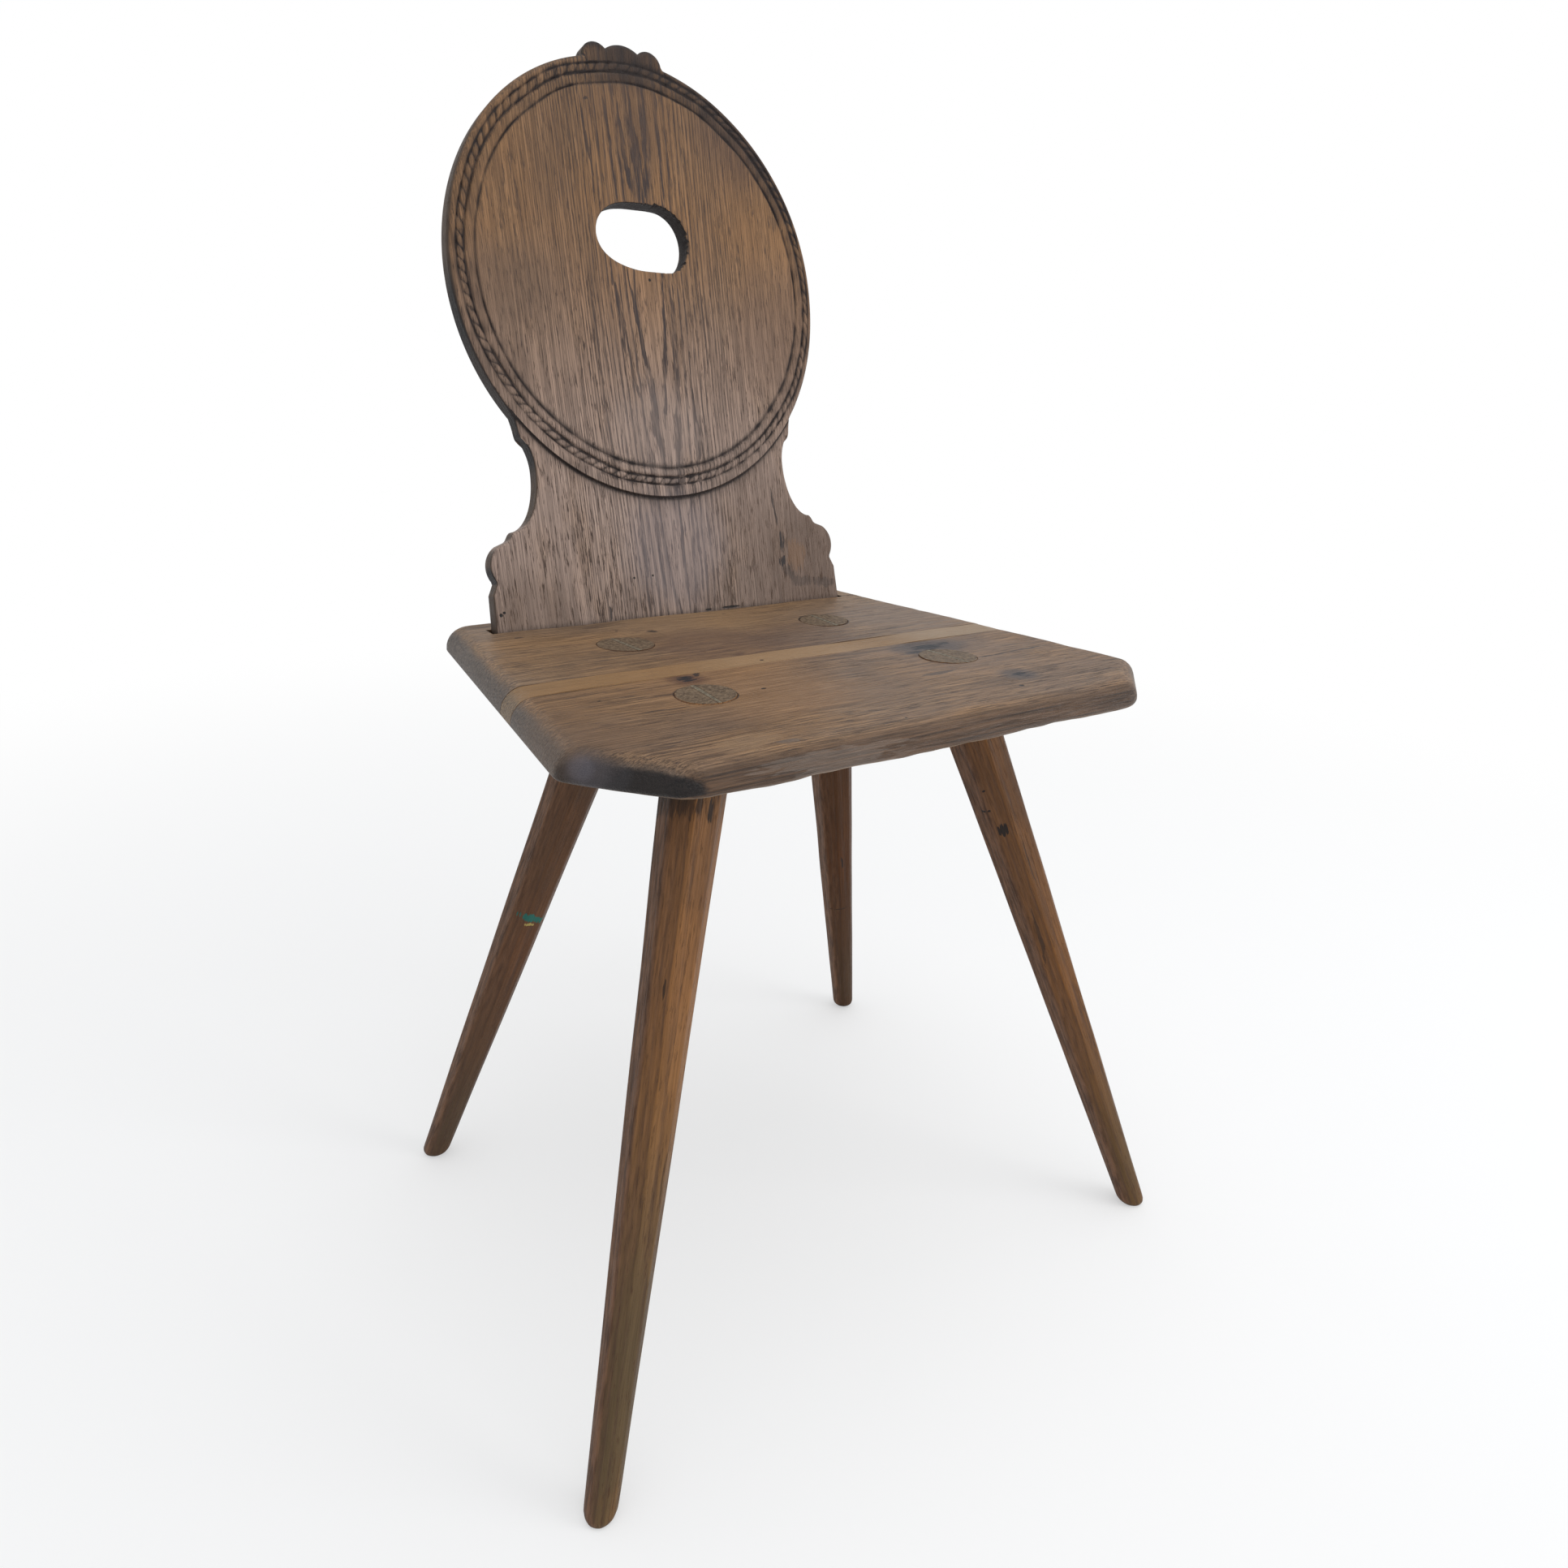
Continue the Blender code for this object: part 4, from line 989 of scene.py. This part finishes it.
frontLook = {
    **seatLook,
    "faces": seatLook["faces"] + [((-0.72, -0.69, 0), 0.7, 0.84, (0.014, 0.01, 0.009), 0.08)],
    "stainsAndPaintedLight": [
        (-206, -148, 434, 27, (0.01, 0.007, 0.007), 1, 0.06),
        (-187, -171, 434, 19, (0.016, 0.011, 0.009), 0.9, 0.06),
        # painted highlight: a bluish-white sheen on the front-left corner, made of these three
        (-206, -145.5, 441, 17, (0.1, 0.1, 0.124), 0.5, 0),
        (-208.5, -143.5, 443, 10, (0.15, 0.15, 0.188), 0.5, 0),
        (-196, -157.5, 441, 12, (0.06, 0.057, 0.064), 0.4, 0),
        # painted sheen: the seat's right side is paler and greyer
        (110, -80, 450, 75, (0.15, 0.115, 0.1), 0.4, 0),
        (0, -120, 450, 70, (0.11, 0.076, 0.056), 0.4, 0),
        (-195, -105, 450, 60, (0.15, 0.088, 0.05), 0.45, 0),
        (-65, -80, 450, 85, (0.37, 0.19, 0.076), 0.4, 0),
        (103, -58, 450, 32, (0.05, 0.044, 0.048), 0.9, 0),
        (85, -56, 450, 20, (0.06, 0.05, 0.052), 0.6, 0),
        (124, -56, 450, 20, (0.06, 0.05, 0.052), 0.6, 0),
        (110, -138, 450, 20, (0.058, 0.052, 0.056), 0.9, 0),
        (-92, -48, 450, 18, (0.07, 0.03, 0.022), 0.9, 0),
    ],
    "knotsAndShadow": [
        (-48, -91.7, 6, 6.2, 0, 1), (-40, -80, 1.8, 7, 60, 0.9), (-56, 103, 7.8, 12, 0, 1),
        (-52, 122, 3, 8, 10, 0.8), (-64, 86, 3, 10, -10, 0.8), (-138, 110, 5.2, 6.8, 20, 1),
        (-93, 158, 1, 36, 0, 0.9), (-112, 62, 3, 12, 0, 0.6), (-98, -132, 1.2, 20, 0, 0.6),
        (-88, -107.5, 5.5, 5, 0, 0.7), (-72, -118, 1, 26, 0, 0.6), (-52, -150, 1, 30, 0, 0.5),
    ],
    "holes": [
        (-159, 91, 1.7, 2, 0, 1), (-88, -60, 1.2, 2, 0, 1), (-175, -20, 0.9, 1, 0, 1),
        (-66, -160, 0.9, 1.2, 0, 1),
    ],
    "dabsAndHighlights": [
        ((-168, -124, 11, 22, 8, 0.5), (0.3, 0.19, 0.108)),
        ((-177, -104, 3.5, 7.5, 0, 0.7), (0.13, 0.1, 0.082)),
        # whitish worn fibres along the nosing with a painted highlight on them
        ((-189.5, -85, 2, 55, 0, 0.16), (0.33, 0.285, 0.25)),
    ],
    "seams": tenonTops("front"),
}
rearLook = {
    **seatLook,
    "pith": (-0.03, -0.49, 0.015), "warm": (0.256, 0.152, 0.076), "cool": (0.206, 0.136, 0.086),
    "stainsAndPaintedLight": [
        (-10, 90, 450, 80, (0.31, 0.19, 0.1), 0.55, 0),
        (-30, 12, 450, 70, (0.105, 0.058, 0.042), 0.7, 0),
        (40, 6, 450, 60, (0.1, 0.06, 0.046), 0.6, 0),
        (-120, 5, 450, 60, (0.12, 0.08, 0.056), 0.45, 0),
        # painted sheen on the right side
        (158, 30, 450, 75, (0.21, 0.16, 0.135), 0.4, 0),
    ],
    "knotsAndShadow": [
        (72.7, -50.7, 3.5, 4, 0, 0.8), (83, -74, 1, 1.2, 0, 0.9), (94, -144, 1.2, 4, 0, 0.7),
        (100, 28, 1, 3, 0, 0.7), (1, 120, 1, 20, 0, 0.7), (14, -140, 1, 26, 0, 0.5),
    ],
    "seams": tenonTops("rear"),
}
stripLook = {
    **seatLook,
    "warm": (0.285, 0.162, 0.073), "cool": (0.255, 0.15, 0.07), "pale": (0.335, 0.22, 0.122),
    "dark": (0.15, 0.09, 0.05), "streak": (0.16, 0.098, 0.056),
    "lineTones": ((0.88, 0.87, 0.86), (1.08, 1.07, 1.05)), "poreShare": 0.25, "ringShare": 0.2,
    "faces": [((way, 0, 0), 0.35, 0.75, (0.19, 0.135, 0.085), 0) for way in (-1, 1)],
    "stainsAndPaintedLight": [
        # painted light: the middle is lightened where the back's shadow falls
        (0, -28, 450, 90, (0.37, 0.24, 0.136), 0.6, 0),
        # painted sheen on the right side
        (180, -28, 450, 110, (0.33, 0.26, 0.19), 0.65, 0),
    ],
    "holes": [(-32, -24, 1.2, 1.6, 0, 1)],
}

halfGap = gap / 2
stripFront, stripRear = seat["stripFrontY"], seat["stripFrontY"] + seat["stripWidth"]
for name, node, plan, slot, look in (
    ("seat_front", "seat_front_board",
     (seat["frontY"], stripFront - halfGap, True, False, 62, 31), "seat_timber", frontLook),
    ("seat_pale_strip", "seat_strip",
     (stripFront + halfGap, stripRear - halfGap, False, False, 12, 41), "strip_timber", stripLook),
    ("seat_rear", "seat_rear_board",
     (stripRear + halfGap, seat["rearY"], False, True, 70, 51), "seat_timber", rearLook),
):
    cutters = [battenHousing(-1), battenHousing(1)]
    if node == "seat_front_board":
        cutters += [legHole("front", -1), legHole("front", 1)]
    if node == "seat_rear_board":
        cutters += [legHole("rear", -1), legHole("rear", 1), *backHousing()]
    board = cutAway(closedMesh(name, boardSheets(*plan)), cutters)
    addPiece(name, board, look, slot, node)


def legSheet(end, sign, seed):
    # a leg carried up its axis: rings cut level, an octagon with softened corners that swells
    # evenly from foot to shoulder, then the round tenon. Each ring is closed and both ends
    # run in to a middle point
    across, sideways, along = (np.array(axis) for axis in legAxes(end, sign))
    foot = np.array(legEnds(end, sign)[1])
    turn = np.linspace(0, 2 * math.pi, legs["columns"], endpoint=False)
    facets = np.arange(legs["facets"]) * 2 * math.pi / legs["facets"]
    facing = np.maximum(np.cos(turn[:, None] - facets), 0) ** legs["softness"]
    octagon = facing.sum(1) ** (-1 / legs["softness"])
    shoulder, top = chair["battenUnder"] - gap, seatTop
    body = np.linspace(legs["bodyStart"], shoulder, legs["rows"])
    rows = [*legs["footRim"], *((level, 0, 1) for level in body)]
    radii = []
    for level, inset, share in rows:
        width = legs["footWidth"] + (legs["shoulderWidth"] - legs["footWidth"]) * level / shoulder
        places = lifted(circlePoint(turn) * 0.02) + (0, 0, level * 0.35)
        hewn = 1 + legs["hewn"] * waves(places, 0.03, seed) * min(1.0, level / 0.02)
        worn = max(0.0, 1 - level / legs["wornBelow"]) * legs["wornShare"]
        radii.append((octagon * (1 - worn) + 1.02 * worn) * width / 2 * hewn - inset)
        radii[-1] *= share
    tenon = legs["tenon"] / 2
    radii += [turn * 0 + radius for radius in (tenon, tenon, tenon - 0.0003, tenon * 0.5, 0)]
    levels = np.array([row[0] for row in rows] + [shoulder, top - 0.0004, top, top, top])
    circle = circlePoint(turn)
    radial = np.stack(radii)[..., None] * (circle[:, :1] * across + circle[:, 1:] * sideways)
    travel = (levels[:, None] - radial[..., 2]) / along[2]
    return foot + radial + travel[..., None] * along


def kerf(end, sign):
    # the saw cut for the wedge, a clearance wider than it
    thick, tip, depth = legs["wedge"]
    rise = 0.02
    wide = (thick + (thick - tip) / depth * rise) / 2 + gap

    def taper(corners):
        low = corners[:, 2] < 0
        corners[low, 0] = np.sign(corners[low, 0]) * (tip / 2 + gap)

    turn = Matrix(legAxes(end, sign)).transposed().to_4x4()
    place = Matrix.Translation(legEnds(end, sign)[0]) @ turn
    return boxMesh((-wide, -0.04, -depth - gap), (wide, 0.04, rise), place, taper)


legLook = {
    "pith": (0.03, 0.055, 0.0), "sway": 0.012, "ringWidth": 0.003, "figure": (0.0, 0.5, 0.9),
    "lineScales": (600, 600, 12), "lineTones": ((0.82, 0.8, 0.78), (1.13, 1.11, 1.08)),
    "poreScales": (800, 800, 75), "sideScales": (420, 420, 50),
    "sideTones": ((0.5, 0.48, 0.48), (1.35, 1.35, 1.35)),
    "warm": (0.264, 0.118, 0.038), "cool": (0.2, 0.095, 0.038), "pale": (0.3, 0.14, 0.046),
    "fade": (0.34, 0.1, (0.1, 0.065, 0.031)),
    "dark": (0.075, 0.036, 0.018), "streak": (0.062, 0.032, 0.02),
    "knotAndShadowTone": (0.022, 0.015, 0.012), "patchShare": 0.4, "ringShare": 0.5, "poreShare": 0.55,
    "roughness": 0.44, "sheen": 0.17, "dabSide": -1,
    "faces": [
        # painted shade: facets that face left are darker
        ((-1, 0, 0), 0.55, 0.9, (0.13, 0.066, 0.036), 0),
        ((0, 0, 1), 0.6, 0.85, (0.158, 0.112, 0.072), 0),
        ((0, 0, -1), 0.6, 0.85, (0.06, 0.045, 0.035), 0),
    ],
}
legLooks = {
    "front_left": {
        "knotsAndShadow": [
            # (-13, 425) is a painted shadow where the leg meets the seat; the others are dark marks
            # and a crack
            (3, 420, 1.6, 7.5, 0, 0.9), (-13, 425, 11, 12, 0, 0.6), (-10.5, 313, 0.8, 6.5, 4, 0.8),
            (6, 200, 0.6, 30, 2, 0.4),
        ],
        # painted shadow under the seat, over a dark stain
        "stainsAndPaintedLight": [(-114, -97, 405, 38, (0.026, 0.017, 0.012), 0.7, 0)],
    },
    "front_right": {
        "warm": (0.163, 0.069, 0.02), "cool": (0.116, 0.052, 0.019),
        "pale": (0.232, 0.103, 0.032), "fade": (0.22, 0.02, (0.1, 0.056, 0.021)), "sheen": 0.16,
        "knotsAndShadow": [
            (-13.5, 359, 3.2, 4.6, 0, 1), (-11, 268, 0.7, 32, 1, 0.6),
            (-16.5, 392, 0.8, 0.9, 0, 1), (-16.8, 376, 0.8, 0.9, 0, 1),
            (-4, 330, 0.6, 22, -2, 0.6), (4, 180, 0.7, 40, 1, 0.5),
        ],
    },
    "rear_left": {
        "warm": (0.11, 0.049, 0.022), "cool": (0.079, 0.041, 0.022),
        "pale": (0.145, 0.065, 0.027), "fade": (0.22, 0.02, (0.074, 0.045, 0.025)),
        "dabsAndHighlights": [
            ((-1, 257.5, 11.5, 3.6, 6, 1), (0.018, 0.11, 0.088)),
            ((-3, 251.5, 4, 1.4, 6, 0.9), (0.34, 0.26, 0.08)),
        ],
    },
    "rear_right": {
        "warm": (0.074, 0.028, 0.009), "cool": (0.055, 0.024, 0.009),
        "pale": (0.103, 0.04, 0.013), "fade": (0.22, 0.02, (0.06, 0.032, 0.015)), "sheen": 0.1,
        "knotsAndShadow": [
            (-2.7, 226, 0.9, 6.2, 0, 1), (-6, 162, 8, 0.7, -4, 0.8),
        ],
    },
}
wedgeFaces = [((0, 0, 1), 0.6, 0.85, (0.185, 0.155, 0.11), 0)]
for seed, key in enumerate(legLooks, 61):
    end, side = key.split("_")
    sign = -1 if side == "left" else 1
    axes = Matrix(legAxes(end, sign)).transposed()
    look = {**legLook, **legLooks[key], "turn": tuple(axes.to_euler()),
            "origin": tuple(legEnds(end, sign)[1])}
    legMesh = closedMesh(f"leg_{key}_piece", [(legSheet(end, sign, seed), True, None)])
    legMesh = cutAway(legMesh, [kerf(end, sign)])
    addPiece(f"shaved_leg_{key}", legMesh, look, "leg_timber", f"leg_{key}")
    paint(frame["nodes"][f"wedge_{key}"].data, f"wedge_{key}_timber",
          {**look, "faces": wedgeFaces, "knotsAndShadow": []})

# battens and keys keep their CAD shape
underLook = {
    **seatLook, "turn": (math.radians(90), 0.0, 0.0), "ringWidth": 0.0035, "roughness": 0.62,
    "warm": (0.23, 0.15, 0.088), "cool": (0.19, 0.128, 0.08), "pale": (0.28, 0.195, 0.12),
    "faces": [((0, way, 0), 0.6, 0.85, (0.19, 0.145, 0.1), 0) for way in (1, -1)],
}
for side in ("left", "right"):
    for node in (f"batten_{side}", f"back_key_{side}"):
        paint(frame["nodes"][node].data, node + "_timber", underLook)


studio = {
    "world": ((0.96, 0.98, 1.0, 1.0), 0.76), "white": (1, 1, 1, 1),
    # name, place, size, power
    "lamps": (("overhead", (0.3, -0.3, 2.4), 2.2, 14.0),
              ("frontRight", (1.7, -2.0, 0.9), 1.4, 24.0)),
    "aim": (0, 0, 0.4),
    "floorHalf": 6.0, "floorTone": (0.9, 0.9, 0.9), "whiteShare": 0.45, "fade": (0.5, 1.9),
}


def softWorld():
    # soft light on the chair, and white where the camera looks past it
    finish = Finish("studio", bpy.data.worlds)
    bpy.context.scene.world = finish.owner
    finish.tree.nodes.clear()
    camera = finish.node("ShaderNodeLightPath", output="Is Camera Ray")
    clear = Signal(finish, camera.socket.node.outputs["Is Transmission Ray"])
    light, white = (finish.node("ShaderNodeBackground", inputs={"Color": tone, "Strength": power})
                    for tone, power in (studio["world"], (studio["white"], 1.0)))
    inputs = {0: camera.largest(clear), 1: light, 2: white}
    blend = finish.node("ShaderNodeMixShader", inputs=inputs)
    finish.feed(finish.tree.nodes.new("ShaderNodeOutputWorld").inputs["Surface"], blend)


def lampAt(name, place, size, power):
    # a round soft lamp turned towards the chair
    data = bpy.data.lights.new(name, "AREA")
    data.shape, data.size, data.energy = "DISK", size, power
    lamp = placed(name, data)
    lamp.location = place
    away = Vector(studio["aim"]) - Vector(place)
    lamp.rotation_euler = away.to_track_quat("-Z", "Y").to_euler()


def floorFinish():
    # pale floor that keeps the shadow near the chair and runs out into the white backdrop
    finish = Finish("paleFloor")
    place = finish.node("ShaderNodeTexCoord", output="Object")
    away = finish.vector("LENGTH", place, output="Value").between(*studio["fade"])
    away = away * (1.0 - studio["whiteShare"]) + studio["whiteShare"]
    camera = finish.node("ShaderNodeLightPath", output="Is Camera Ray")
    white = finish.node("ShaderNodeEmission", inputs={"Color": studio["white"], "Strength": 1.0})
    mottle = finish.noise(place, (3, 3, 3), 2.0, 0.55)
    tone = studio["floorTone"]
    paler = tuple(value * 1.02 for value in tone)
    finish.feedSurface({"Base Color": finish.mix(mottle, tone, paler), "Roughness": 0.9,
                        "Specular IOR Level": 0.1})
    surface = Signal(finish, finish.surface.outputs[0])
    blend = finish.node("ShaderNodeMixShader", inputs={0: away * camera, 1: surface, 2: white})
    finish.feed(finish.tree.nodes["Material Output"].inputs["Surface"], blend)
    return finish.owner


def addFloor():
    # one flat quad, staged so that it isn't part of the chair
    half = studio["floorHalf"]
    corners = [(-half, -half, 0), (half, -half, 0), (half, half, 0), (-half, half, 0)]
    mesh = bpy.data.meshes.new("floor")
    mesh.from_pydata(corners, [], [(0, 1, 2, 3)])
    mesh.materials.append(floorFinish())
    placed("floor", mesh)


view = {"azimuth": -35.6225, "elevation": 21.3015, "roll": 2.2726, "sensor": 36.0,
        "place": (-0.42428, -0.62188, 0.63912), "focal": 1347.5012, "frameWidth": 1932.0}


def addCamera():
    # looks along the azimuth and elevation that were fitted to the chair, then rolls
    azimuth, elevation, roll = (math.radians(view[key]) for key in ("azimuth", "elevation", "roll"))
    level = Vector((math.cos(azimuth), math.sin(azimuth), 0))
    inwards = Vector((-math.sin(azimuth), math.cos(azimuth), 0))
    away = Vector((0, 0, math.sin(elevation))) - inwards * math.cos(elevation)
    up = away.cross(level)
    right = level * math.cos(roll) + up * math.sin(roll)
    upright = -level * math.sin(roll) + up * math.cos(roll)
    data = bpy.data.cameras.new("camera")
    data.sensor_width = view["sensor"]
    data.lens = view["sensor"] * view["focal"] / view["frameWidth"]
    data.clip_start, data.clip_end = 0.05, 50.0
    camera = placed("camera", data)
    turn = Matrix((right, upright, away)).transposed().to_4x4()
    camera.matrix_world = Matrix.Translation(view["place"]) @ turn
    bpy.context.scene.camera = camera


softWorld()
for lampSettings in studio["lamps"]:
    lampAt(*lampSettings)
addFloor()
addCamera()
bpy.context.scene.view_settings.view_transform = "Standard"
print("stage and camera set")
